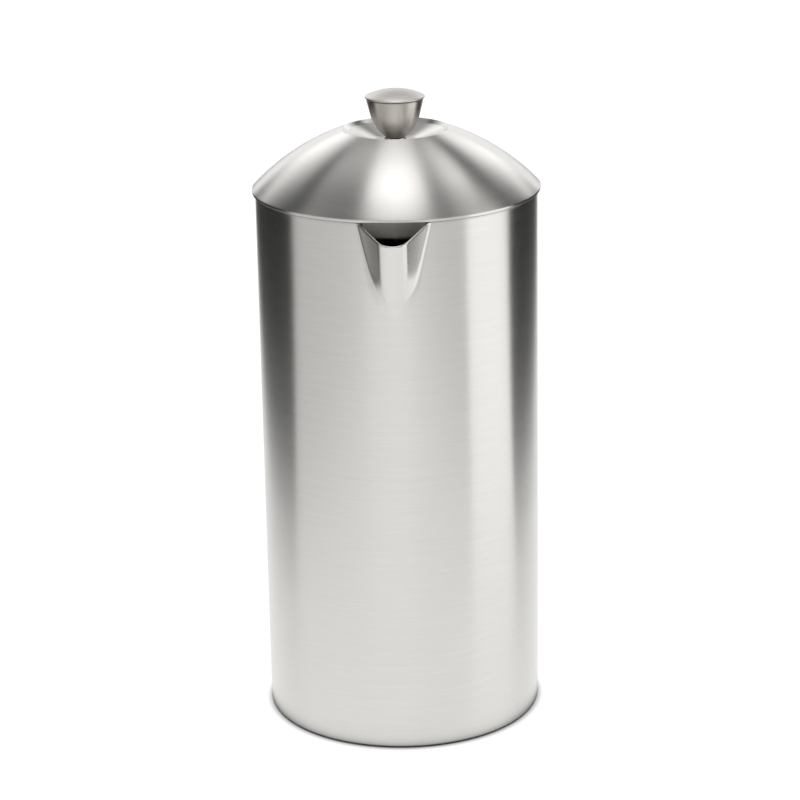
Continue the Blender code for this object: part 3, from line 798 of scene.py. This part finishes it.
def coil_tree():
    """A coil of wire wound round a ring, as the filter's edge spring is."""
    sizes = ("Ring Radius", "Coil Radius", "Wire Radius", "Height")
    tree, given = growth_tree("edge_spring_coil", sizes, ("Turns", "Steps per Turn"))
    steps = math_node(tree, "MULTIPLY", given["Turns"], given["Steps per Turn"])
    ring = circle(tree, steps, given["Ring Radius"])
    index = add_node(tree, "GeometryNodeInputIndex").outputs[0]
    turn = math_node(tree, "DIVIDE", math_node(tree, "MULTIPLY", index, math.tau), given["Steps per Turn"])
    out = math_node(tree, "MULTIPLY", math_node(tree, "COSINE", turn), given["Coil Radius"])
    up = math_node(tree, "MULTIPLY", math_node(tree, "SINE", turn), given["Coil Radius"])
    place = add_node(tree, "GeometryNodeInputPosition").outputs[0]
    outward = vector_node(tree, "NORMALIZE", place)
    spread = add_node(tree, "ShaderNodeVectorMath", {0: outward, "Scale": out}, operation="SCALE")
    lift = vector(tree, Z=math_node(tree, "ADD", up, given["Height"]))
    wound = shifted(tree, ring, vector_node(tree, "ADD", spread.outputs[0], lift))
    wire = circle(tree, 6, given["Wire Radius"])
    drawn = add_node(tree, "GeometryNodeCurveToMesh", {"Curve": wound, "Profile Curve": wire})
    end_tree(tree, drawn.outputs[0], given["Material"])
    return tree


def cloth_tree():
    """Plain-woven wire cloth cut to a disc, with a hole for the rod."""
    sizes = ("Radius", "Hole", "Pitch", "Wire Radius", "Height")
    tree, given = growth_tree("woven_wire_cloth", sizes, ("Wires",))
    half = math_node(
        tree,
        "MULTIPLY",
        math_node(tree, "SUBTRACT", given["Wires"], 1.0),
        math_node(tree, "MULTIPLY", given["Pitch"], 0.5),
    )
    low = math_node(tree, "MULTIPLY", half, -1.0)
    step = math_node(tree, "MULTIPLY", given["Pitch"], 0.5)
    points = math_node(tree, "SUBTRACT", math_node(tree, "MULTIPLY", given["Wires"], 2.0), 1.0)
    wire = add_node(
        tree,
        "GeometryNodeMeshLine",
        {"Count": points, "Start Location": vector(tree, X=low), "Offset": vector(tree, X=step)},
        mode="OFFSET",
    )
    rack_start, rack_step = vector(tree, Y=low), vector(tree, Y=given["Pitch"])
    rack = add_node(
        tree,
        "GeometryNodeMeshLine",
        {"Count": given["Wires"], "Start Location": rack_start, "Offset": rack_step},
        mode="OFFSET",
    )
    laid = add_node(
        tree, "GeometryNodeInstanceOnPoints", {"Points": rack.outputs[0], "Instance": wire.outputs[0]}
    )
    warp = add_node(tree, "GeometryNodeRealizeInstances", {"Geometry": laid.outputs[0]})
    place = add_node(tree, "GeometryNodeInputPosition").outputs[0]
    split = add_node(tree, "ShaderNodeSeparateXYZ", {0: place}).outputs
    diagonal = math_node(tree, "ADD", split["X"], split["Y"])
    crossing = math_node(tree, "DIVIDE", math_node(tree, "MULTIPLY", diagonal, math.pi), given["Pitch"])
    wave = math_node(tree, "MULTIPLY", math_node(tree, "COSINE", crossing), given["Wire Radius"])
    woven = shifted(tree, warp.outputs[0], vector(tree, Z=wave))
    weft = add_node(
        tree,
        "GeometryNodeTransform",
        {
            "Geometry": woven,
            "Rotation": (0.0, 0.0, math.pi / 2),
            "Scale": (1.0, 1.0, -1.0),
        },
    )
    both = add_node(tree, "GeometryNodeJoinGeometry")
    tree.links.new(woven, both.inputs[0])
    tree.links.new(weft.outputs[0], both.inputs[0])
    reach = vector_node(tree, "LENGTH", across_axis(tree, place))
    outside = math_node(tree, "GREATER_THAN", reach, given["Radius"])
    inside = math_node(tree, "LESS_THAN", reach, given["Hole"])
    cut = add_node(
        tree,
        "GeometryNodeDeleteGeometry",
        {"Geometry": both.outputs[0], "Selection": math_node(tree, "ADD", outside, inside)},
    )
    raised = shifted(tree, cut.outputs[0], vector(tree, Z=given["Height"]))
    lines = add_node(tree, "GeometryNodeMeshToCurve", {"Mesh": raised})
    section = circle(tree, 4, given["Wire Radius"])
    drawn = add_node(
        tree,
        "GeometryNodeCurveToMesh",
        {"Curve": lines.outputs[0], "Profile Curve": section, "Fill Caps": True},
    )
    end_tree(tree, drawn.outputs[0], given["Material"])
    return tree


def plate_tree():
    """A disc with a bore and two rings of round holes."""
    sizes = ("Radius", "Bore", "Low", "Thickness", "Inner Ring", "Inner Hole", "Outer Ring", "Outer Hole")
    tree, given = growth_tree("perforated_disc", sizes, ("Inner Count", "Outer Count"))

    everything = add_node(tree, "GeometryNodeJoinGeometry")
    tree.links.new(circle(tree, 192, given["Radius"]), everything.inputs[0])
    tree.links.new(circle(tree, 48, given["Bore"]), everything.inputs[0])
    for label in ("Inner", "Outer"):
        count = given[label + " Count"]
        stations = circle(tree, count, given[label + " Ring"])
        laid = add_node(
            tree,
            "GeometryNodeInstanceOnPoints",
            {"Points": stations, "Instance": circle(tree, 40, given[label + " Hole"])},
        )
        turn = vector(tree, Z=math_node(tree, "DIVIDE", math.pi, count))
        swung = add_node(
            tree, "GeometryNodeTransform", {"Geometry": laid.outputs[0], "Rotation": turn}
        )
        real = add_node(tree, "GeometryNodeRealizeInstances", {"Geometry": swung.outputs[0]})
        tree.links.new(real.outputs[0], everything.inputs[0])
    face = add_node(tree, "GeometryNodeFillCurve", {"Curve": everything.outputs[0]}, mode="TRIANGLES")
    rise = vector(tree, Z=given["Thickness"])
    thick = add_node(
        tree,
        "GeometryNodeExtrudeMesh",
        {"Mesh": face.outputs[0], "Offset": rise, "Offset Scale": 1.0, "Individual": False},
    )
    floor = add_node(tree, "GeometryNodeFlipFaces", {"Mesh": face.outputs[0]})
    closed = add_node(tree, "GeometryNodeJoinGeometry")
    tree.links.new(thick.outputs[0], closed.inputs[0])
    tree.links.new(floor.outputs[0], closed.inputs[0])
    merged = add_node(
        tree, "GeometryNodeMergeByDistance", {"Geometry": closed.outputs[0], "Distance": 1e-6}
    )
    # A filled curve always lies at height zero, so the finished disc is what gets raised.
    raised = shifted(tree, merged.outputs[0], vector(tree, Z=given["Low"]))
    end_tree(tree, raised, given["Material"])
    return tree


THREAD_BORE = 2.2
STOP_WIDTH = 4.0
PLATE_SHEET = 0.8


def make_plate(name, node, rim, tree, material):
    """Perforated plate with a rim turned up, or down where rim is negative."""
    low, high = span(node)
    radius = high.x
    level = low.z if rim > 0 else high.z - PLATE_SHEET
    start = THREAD_BORE + STOP_WIDTH
    width = radius - PLATE_SHEET - start
    values = {
        "Radius": radius - PLATE_SHEET,
        "Bore": THREAD_BORE,
        "Low": level,
        "Thickness": PLATE_SHEET,
        "Inner Ring": start + 0.27 * width,
        "Inner Hole": 3.4,
        "Outer Ring": start + 0.72 * width,
        "Outer Hole": 4.4,
        "Inner Count": 6,
        "Outer Count": 12,
    }
    disc = grown(name + "_disc", tree, values, material)
    inner = radius - 1.5 * PLATE_SHEET
    wall = radius - PLATE_SHEET
    if rim > 0:
        corners = [(inner, level, 0), (radius, level, 0.7), (radius, high.z, 0.3)]
        corners += [(wall, high.z, 0.3), (wall, level + PLATE_SHEET, 0.15), (inner, level + PLATE_SHEET, 0)]
    else:
        corners = [(inner, level, 0), (wall, level, 0.15), (wall, low.z, 0.3), (radius, low.z, 0.3)]
        corners += [(radius, level + PLATE_SHEET, 0.7), (inner, level + PLATE_SHEET, 0)]
    edge = turned(name + "_edge", rounded(corners), material)
    return joined(name, disc, edge)


def make_spring(material):
    """Coil spring that presses the filter's edge against the liner."""
    low, high = span("edge_spring")
    wire = 0.26
    coil = (high.z - low.z) / 2 - wire
    values = {
        "Ring Radius": high.x - coil - wire,
        "Coil Radius": coil,
        "Wire Radius": wire,
        "Height": (low.z + high.z) / 2,
        "Turns": 230,
        "Steps per Turn": 12,
    }
    return grown("filter_edge_spring", coil_tree(), values, material)


def make_cloth(material):
    """Woven wire screen of the filter."""
    low, high = span("mesh_screen")
    pitch = 1.2
    wires = 2 * int(high.x / pitch) + 1
    values = {
        "Radius": high.x - 0.2,
        "Hole": THREAD_BORE + 0.4,
        "Pitch": pitch,
        "Wire Radius": (high.z - low.z) / 4,
        "Height": (low.z + high.z) / 2,
        "Wires": wires if wires % 4 == 1 else wires - 2,
    }
    return grown("filter_wire_cloth", cloth_tree(), values, material)


def make_hem(material):
    """Folded strip that binds the wire cloth's edge."""
    low, high = span("mesh_hem")
    inner = span("mesh_screen")[1].x - 0.6
    outline = rounded(
        [(inner, low.z, 0.3), (high.x, low.z, 0.4), (high.x, high.z, 0.4), (inner, high.z, 0.3)]
    )
    return turned("filter_hem", outline, material)


def make_hub(material):
    """Flanged hexagon nut under the filter."""
    low, high = span("hub_nut")
    flange_low = high.z - 1.2
    flange = turned(
        "hub_flange",
        rounded(
            [
                (THREAD_BORE, flange_low, 0),
                (high.x, flange_low, 0.5),
                (high.x, high.z, 0.2),
                (THREAD_BORE, high.z, 0),
            ]
        ),
        material,
        SMALL_ROUND,
    )
    levels = ((low.z, 0.4), (low.z + 0.4, 0.0), (flange_low + 0.2, 0.0))
    nut = hexagon("hub_hexagon", 4.3, THREAD_BORE, levels, material)
    return joined("filter_hub_nut", flange, nut)


def make_rod(material):
    """Ground rod with a threaded end under the filter."""
    low, high = span("plunger_rod")
    shoulder = span("stop_washer")[1].z + SEAT
    rod, core = high.x, 2.0
    outline = [(0.0, low.z), (core - 0.5, low.z), (core, low.z + 0.5)]
    outline += [(core, shoulder), (rod - 0.2, shoulder), (rod, shoulder + 0.2)]
    top = KNOB_FOOT - 0.15
    outline += [(rod, top - 0.2), (rod - 0.2, top), (core, top), (core, high.z), (0.0, high.z)]
    return turned("plunger_shaft", outline, material, SMALL_ROUND, sharp=30)


# ---------------------------------------------------------------- finishes


def shader_group(name, inputs, outputs):
    """A shader node group with named sockets."""
    tree = bpy.data.node_groups.new(name, "ShaderNodeTree")
    for label, value in inputs.items():
        socket = tree.interface.new_socket(label, in_out="INPUT", socket_type="NodeSocketFloat")
        socket.default_value = value
    for label in outputs:
        tree.interface.new_socket(label, in_out="OUTPUT", socket_type="NodeSocketFloat")
    return tree, tree.nodes.new("NodeGroupInput").outputs


def object_place(tree):
    """Where a point lies on its piece."""
    return add_node(tree, "ShaderNodeTexCoord").outputs["Object"]


def brushing_group():
    """Fine lines that run round the axis over any turned surface, and their slow changes."""
    inputs = {"Spacing": 0.3, "Coarse Spacing": 1.6, "Length": 30.0}
    tree, given = shader_group("round_brushing", inputs, ("Lines", "Streaks"))
    place = object_place(tree)
    x, y, z = add_node(tree, "ShaderNodeSeparateXYZ", {0: place}).outputs
    radius = vector_node(tree, "LENGTH", across_axis(tree, place))
    along = math_node(tree, "SUBTRACT", radius, z)
    length = math_node(tree, "MULTIPLY", given["Length"], MM)

    def lines(spacing, stretch):
        wide = math_node(tree, "MULTIPLY", length, stretch)
        deep = math_node(tree, "MULTIPLY", spacing, MM)
        stretched = vector(
            tree,
            X=math_node(tree, "DIVIDE", x, wide),
            Y=math_node(tree, "DIVIDE", y, wide),
            Z=math_node(tree, "DIVIDE", along, deep),
        )
        noise = add_node(
            tree, "ShaderNodeTexNoise", {"Vector": stretched, "Scale": 1.0, "Detail": 2.0}
        )
        return noise.outputs["Fac"]

    fine = lines(given["Spacing"], 0.4)
    coarse = lines(given["Coarse Spacing"], 1.0)
    mixed = math_node(
        tree, "ADD", math_node(tree, "MULTIPLY", fine, 0.6), math_node(tree, "MULTIPLY", coarse, 0.4)
    )
    add_node(tree, "NodeGroupOutput", {"Lines": mixed, "Streaks": coarse})
    return tree


def handling_group():
    """Soft smudges left by handling, from one noise pattern."""
    tree, given = shader_group("handling_marks", {"Size": 25.0}, ("Marks",))
    place = object_place(tree)
    scale = math_node(tree, "DIVIDE", 1.0 / MM, given["Size"])
    broad = add_node(
        tree, "ShaderNodeTexNoise", {"Vector": place, "Scale": scale, "Detail": 3.0, "Roughness": 0.6}
    )
    add_node(tree, "NodeGroupOutput", {"Marks": broad.outputs["Fac"]})
    return tree


def ranged(tree, value, low, high):
    """A 0 to 1 value spread between two limits."""
    limits = {"Value": value, "From Min": 0.25, "From Max": 0.75, "To Min": low, "To Max": high}
    return add_node(tree, "ShaderNodeMapRange", limits).outputs[0]


TANGENT_LEAN = 0.18
PRESSED_GLOSS = 0.9  # share of the body's roughness that the spout's nose keeps


def steel(
    name, groups, dark, light, roughness, bump, spacing=0.3, flatness=0.0, tangent=None, pressed=None
):
    """A steel finish: lines and smudges change its tone and gloss, and the lines cut its surface.

    Where pressed is given, the lines fade and the gloss rises that far out of the body's wall.
    """
    material = bpy.data.materials.new(name)
    material.use_nodes = True
    tree = material.node_tree
    shader = tree.nodes["Principled BSDF"]
    brushing = add_node(tree, "ShaderNodeGroup", node_tree=groups["brushing"])
    brushing.inputs["Spacing"].default_value = spacing
    brushing.inputs["Coarse Spacing"].default_value = spacing * 5
    marks = add_node(tree, "ShaderNodeGroup", node_tree=groups["handling"])
    lines = brushing.outputs["Lines"]
    low, high = roughness
    worn = 1.0
    if pressed:
        place = object_place(tree)
        radius = vector_node(tree, "LENGTH", across_axis(tree, place))
        rise = {"Value": radius, "From Min": BODY * MM, "From Max": (BODY + pressed) * MM}
        rise.update({"To Min": 1.0, "To Max": 0.0})
        left = add_node(tree, "ShaderNodeMapRange", rise, interpolation_type="SMOOTHSTEP").outputs[0]
        off = math_node(tree, "MULTIPLY", math_node(tree, "SUBTRACT", lines, 0.5), left)
        lines = math_node(tree, "ADD", off, 0.5)
        worn = math_node(tree, "MULTIPLY_ADD", left, 1 - PRESSED_GLOSS, PRESSED_GLOSS)
    tone = add_node(tree, "ShaderNodeMix", {"Factor": ranged(tree, lines, 0.0, 1.0)}, data_type="RGBA")
    # The colour sockets of a Mix node share their names with its float sockets.
    tone.inputs[6].default_value = dark + (1.0,)
    tone.inputs[7].default_value = light + (1.0,)
    tree.links.new(tone.outputs[2], shader.inputs["Base Color"])
    gloss = math_node(
        tree,
        "ADD",
        ranged(tree, lines, low, high),
        ranged(tree, marks.outputs["Marks"], -0.012, 0.012),
    )
    tree.links.new(math_node(tree, "MULTIPLY", gloss, worn), shader.inputs["Roughness"])
    shader.inputs["Metallic"].default_value = 1.0
    shader.inputs["Anisotropic"].default_value = flatness
    if tangent == "upright":
        # Leans a little outward, so it is never square to a flat face.
        place = object_place(tree)
        outward = vector_node(tree, "NORMALIZE", across_axis(tree, place))
        lean = vector_node(tree, "MULTIPLY", outward, (TANGENT_LEAN, TANGENT_LEAN, 0.0))
        direction = vector_node(tree, "ADD", lean, (0.0, 0.0, 1.0))
        tree.links.new(direction, shader.inputs["Tangent"])
    elif tangent == "outward":
        place = object_place(tree)
        direction = across_axis(tree, place)
        tree.links.new(vector_node(tree, "NORMALIZE", direction), shader.inputs["Tangent"])
    relief = add_node(
        tree, "ShaderNodeBump", {"Height": lines, "Distance": bump * MM, "Strength": 1.0}
    )
    tree.links.new(relief.outputs[0], shader.inputs["Normal"])
    return material


def make_finishes():
    """Every finish of the press, by name."""
    groups = {"brushing": brushing_group(), "handling": handling_group()}

    def finish(name, *values, **settings):
        return steel(name, groups, *values, **settings)

    wall = dict(flatness=0.9, tangent="upright")
    disc = dict(flatness=0.85, tangent="outward")
    body_dark, body_light = (0.60, 0.592, 0.57), (0.66, 0.652, 0.63)
    return {
        "body": finish("brushed_body", body_dark, body_light, (0.27, 0.33), 0.004, **wall),
        "spout": finish(
            "pressed_spout_steel", body_dark, body_light, (0.27, 0.33), 0.004, pressed=3.0, **wall
        ),
        "dome": finish("brushed_lid", body_dark, body_light, (0.28, 0.34), 0.005, **wall),
        "knob": finish(
            "turned_knob", (0.58, 0.55, 0.51), (0.64, 0.61, 0.57), (0.30, 0.36), 0.003, 0.2, **wall
        ),
        "cap": finish(
            "turned_cap", (0.62, 0.60, 0.57), (0.68, 0.66, 0.63), (0.42, 0.48), 0.004, 0.2
        ),
        "polished": finish(
            "polished_steel", (0.66, 0.655, 0.645), (0.68, 0.675, 0.665), (0.13, 0.16), 0.0008
        ),
        "rim": finish("polished_rim", (0.66, 0.655, 0.645), (0.68, 0.675, 0.665), (0.2, 0.24), 0.001),
        "liner": finish(
            "satin_liner",
            (0.56, 0.55, 0.53),
            (0.62, 0.61, 0.59),
            (0.28, 0.34),
            0.003,
            0.4,
            flatness=0.6,
            tangent="upright",
        ),
        "base": finish("brushed_base", body_dark, body_light, (0.34, 0.40), 0.004, 0.4, **disc),
        "small": finish("satin_fittings", (0.58, 0.57, 0.55), (0.64, 0.63, 0.61), (0.22, 0.28), 0.002),
        "wire": finish("drawn_wire", (0.5, 0.5, 0.48), (0.58, 0.58, 0.56), (0.28, 0.34), 0.001),
    }


# ---------------------------------------------------------------- studio


def make_camera():
    """The camera, level with the upper body and tipped down, a hair right of the spout."""
    swing, tip, lean = math.radians(1.5), math.radians(18.036), math.radians(-0.995)
    distance, height = 0.94237, 0.42453
    lens = bpy.data.cameras.new("camera")
    lens.lens = 120.27
    lens.sensor_width = 36.0
    camera = placed("camera", lens)
    turn = Matrix.Rotation(swing, 4, "Z") @ Matrix.Rotation(math.pi / 2 - tip, 4, "X")
    place = Matrix.Translation((distance * math.sin(swing), -distance * math.cos(swing), height))
    camera.matrix_world = place @ turn @ Matrix.Rotation(lean, 4, "Z")
    bpy.context.scene.camera = camera


ROOM_LIGHT = 0.03
PLAIN_WHITE = 1.08  # brightness of the room and the floor in the camera's own view
PAPER = 0.26  # half width of the lit paper, in metres
PAPER_EDGE = 0.02  # half width of its soft edge
PAPER_LIGHT = 1.2
SECTOR_EDGE, PANEL_EDGE = 2, 3  # half widths of the soft edges, in degrees
UNDER_PRESS = 5  # how far past the body the floor gives no full light
CONTACT = 0.0025  # reach of the dark line at the foot, in metres
# Light panels round the press: compass angle from the spout towards +X and half width, then
# middle elevation and half height, all in degrees, and brightness.
PANELS = (
    ("front", -17, 73, 18, 26, 0.72),
    ("front_middle", -5, 18, 18, 26, 0.2),
    ("right_key", 79, 22, 18, 26, 1.4),
    ("back_wall", 180, 28, 10, 26, 1.1),
    ("overhead", 0, 200, 90, 14, 2.9),
    ("behind_overhead", 180, 56, 64, 12, 1.05),
    ("left_rim", -150, 16, 32, 12, 1.05),
    ("right_rim", 150, 12, 30, 12, 1.1),
    ("right_streak", 126, 5, 61, 6, 4.2),
)
# Lit sectors of the floor beside the paper: compass angle, half width and brightness.
FLOOR_SECTORS = (
    ("front", -17, 73, 0.72),
    ("front_middle", -5, 18, 0.12),
    ("right_key", 79, 22, 1.4),
)


def emitter(name, points, faces, pick_strength, camera_colour):
    """A staged surface whose light on the press differs from the plain one the camera sees."""
    mesh = bpy.data.meshes.new(name)
    mesh.from_pydata(points, [], faces)
    made = placed(name, mesh)
    material = bpy.data.materials.new(name)
    material.use_nodes = True
    tree = material.node_tree
    tree.nodes.clear()
    place = object_place(tree)
    glow = add_node(tree, "ShaderNodeEmission", {"Strength": pick_strength(tree, place)})
    plain = add_node(tree, "ShaderNodeEmission", {"Strength": PLAIN_WHITE, "Color": camera_colour(tree)})
    rays = add_node(tree, "ShaderNodeLightPath").outputs["Is Camera Ray"]
    chosen = add_node(tree, "ShaderNodeMixShader", {"Fac": rays})
    tree.links.new(glow.outputs[0], chosen.inputs[1])
    tree.links.new(plain.outputs[0], chosen.inputs[2])
    add_node(tree, "ShaderNodeOutputMaterial", {"Surface": chosen.outputs[0]})
    mesh.materials.append(material)


def soft_step(tree, value, full, none, strength=1.0):
    """Strength up to the first limit of a value, falling softly to nothing at the second."""
    limits = {"Value": value, "From Min": full, "From Max": none, "To Min": strength, "To Max": 0.0}
    return add_node(tree, "ShaderNodeMapRange", limits, interpolation_type="SMOOTHSTEP").outputs[0]


def compass_angle(tree, x, y):
    """Angle round the press, counted from the spout towards +X."""
    return math_node(tree, "ARCTAN2", x, math_node(tree, "MULTIPLY", y, -1.0))


def sector(tree, compass, middle, half, strength=1.0):
    """Strength within a soft-edged sector."""
    gap = math_node(tree, "SUBTRACT", compass, math.radians(middle))
    wrapped = math_node(tree, "ABSOLUTE", math_node(tree, "WRAP", gap, math.pi, -math.pi))
    return soft_step(
        tree, wrapped, math.radians(half - SECTOR_EDGE), math.radians(half + SECTOR_EDGE), strength
    )


def panel_strength(tree, place):
    """Brightness of the room by compass angle and elevation."""
    x, y, z = add_node(tree, "ShaderNodeSeparateXYZ", {0: vector_node(tree, "NORMALIZE", place)}).outputs
    compass = compass_angle(tree, x, y)
    elevation = math_node(tree, "ARCSINE", z)
    total = ROOM_LIGHT
    for _, middle, half, level, rise, brightness in PANELS:
        climb = math_node(tree, "ABSOLUTE", math_node(tree, "SUBTRACT", elevation, math.radians(level)))
        full, none = math.radians(rise - PANEL_EDGE), math.radians(rise + PANEL_EDGE)
        up = soft_step(tree, climb, full, none, brightness)
        across = sector(tree, compass, middle, half)
        total = math_node(tree, "ADD", total, math_node(tree, "MULTIPLY", across, up))
    return total


def make_room():
    """A dome of soft-edged light panels round the press."""
    steps, rings, reach = 64, 16, 5.0
    points = []
    for j in range(rings + 1):
        level = math.pi / 2 * j / rings
        for k in range(steps):
            turn = math.tau * k / steps
            flat = reach * math.cos(level)
            points.append((flat * math.cos(turn), flat * math.sin(turn), reach * math.sin(level)))
    faces = grid_faces(rings + 1, steps, wrap_columns=True)
    emitter("light_room", points, faces, panel_strength, lambda tree: (1.0, 1.0, 1.0, 1.0))


def floor_strength(tree, place):
    """Brightness of the floor: a lit sheet of paper, sectors beside it, dark under the press."""
    x, y, _ = add_node(tree, "ShaderNodeSeparateXYZ", {0: place}).outputs
    sheet = soft_step(tree, math_node(tree, "ABSOLUTE", x), PAPER - PAPER_EDGE, PAPER + PAPER_EDGE)
    compass = compass_angle(tree, x, y)
    beside = ROOM_LIGHT
    for _, middle, half, brightness in FLOOR_SECTORS:
        beside = math_node(tree, "ADD", beside, sector(tree, compass, middle, half, brightness))
    rest = math_node(tree, "MULTIPLY", beside, math_node(tree, "SUBTRACT", 1.0, sheet))
    lit = math_node(tree, "ADD", rest, math_node(tree, "MULTIPLY", sheet, PAPER_LIGHT))
    under = soft_step(tree, vector_node(tree, "LENGTH", place), BODY * MM, (BODY + UNDER_PRESS) * MM)
    return math_node(tree, "MULTIPLY", lit, math_node(tree, "SUBTRACT", 1.0, under))


def contact_shade(tree):
    """White, with a thin dark line where the press stands."""
    shade = add_node(tree, "ShaderNodeAmbientOcclusion", {"Distance": CONTACT}, samples=8)
    return shade.outputs["Color"]


def make_floor():
    """A wide white floor."""
    steps, reach = 96, 6.0
    turns = [math.tau * k / steps for k in range(steps)]
    rim = [(reach * math.cos(turn), reach * math.sin(turn), 0.0) for turn in turns]
    emitter("floor", rim, [tuple(range(steps))], floor_strength, contact_shade)


# ---------------------------------------------------------------- assembly


def stand_for(made, node, body):
    """Puts a finished piece in a CAD node's place."""
    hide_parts(node)
    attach(made, body)


def main():
    make_camera()
    make_room()
    make_floor()
    bpy.context.scene.view_settings.view_transform = "Standard"
    steels = make_finishes()

    stand_for(make_outer_shell(steels["body"]), "outer_shell", "carafe")
    stand_for(make_liner(steels["liner"]), "inner_liner", "carafe")
    stand_for(make_spout(steels["spout"]), "pouring_spout", "carafe")
    stand_for(make_base(steels["base"]), "base_plate", "carafe")
    stand_for(make_grip(steels["polished"]), "handle_grip", "carafe")
    for end in ("upper", "lower"):
        saddle = make_saddle(f"handle_{end}_saddle", f"handle_{end}_pad", steels["polished"])
        stand_for(saddle, f"handle_{end}_pad", "carafe")

    stand_for(make_dome(steels["dome"]), "lid_dome", "lid_shell")
    stand_for(make_collar(steels["liner"]), "lid_collar", "lid_shell")

    stand_for(make_bush(steels["rim"]), "rod_bush", "lid_bush")
    bush_bore = span("rod_bush")[1].x - BUSH_LEDGE + SEAT
    washer = make_ring("bush_clamp_washer", "bush_washer", bush_bore, 0.15, steels["small"])
    stand_for(washer, "bush_washer", "lid_bush")
    nut = make_nut("bush_clamp_nut", "bush_nut", bush_bore, steels["small"])
    stand_for(nut, "bush_nut", "lid_bush")

    stand_for(make_rod(steels["rim"]), "plunger_rod", "plunger")
    stop = make_ring("rod_stop_washer", "stop_washer", THREAD_BORE, 0.2, steels["small"])
    stand_for(stop, "stop_washer", "plunger")
    discs = plate_tree()
    upper = make_plate("filter_spring_plate", "spring_plate", 1, discs, steels["small"])
    stand_for(upper, "spring_plate", "plunger")
    lower = make_plate("filter_cross_plate", "cross_plate", -1, discs, steels["small"])
    stand_for(lower, "cross_plate", "plunger")
    stand_for(make_spring(steels["wire"]), "edge_spring", "plunger")
    stand_for(make_cloth(steels["wire"]), "mesh_screen", "plunger")
    stand_for(make_hem(steels["small"]), "mesh_hem", "plunger")
    stand_for(make_hub(steels["small"]), "hub_nut", "plunger")

    stand_for(make_knob(steels["knob"]), "knob_body", "knob")
    stand_for(make_cap(steels["cap"]), "knob_cap", "knob")


main()
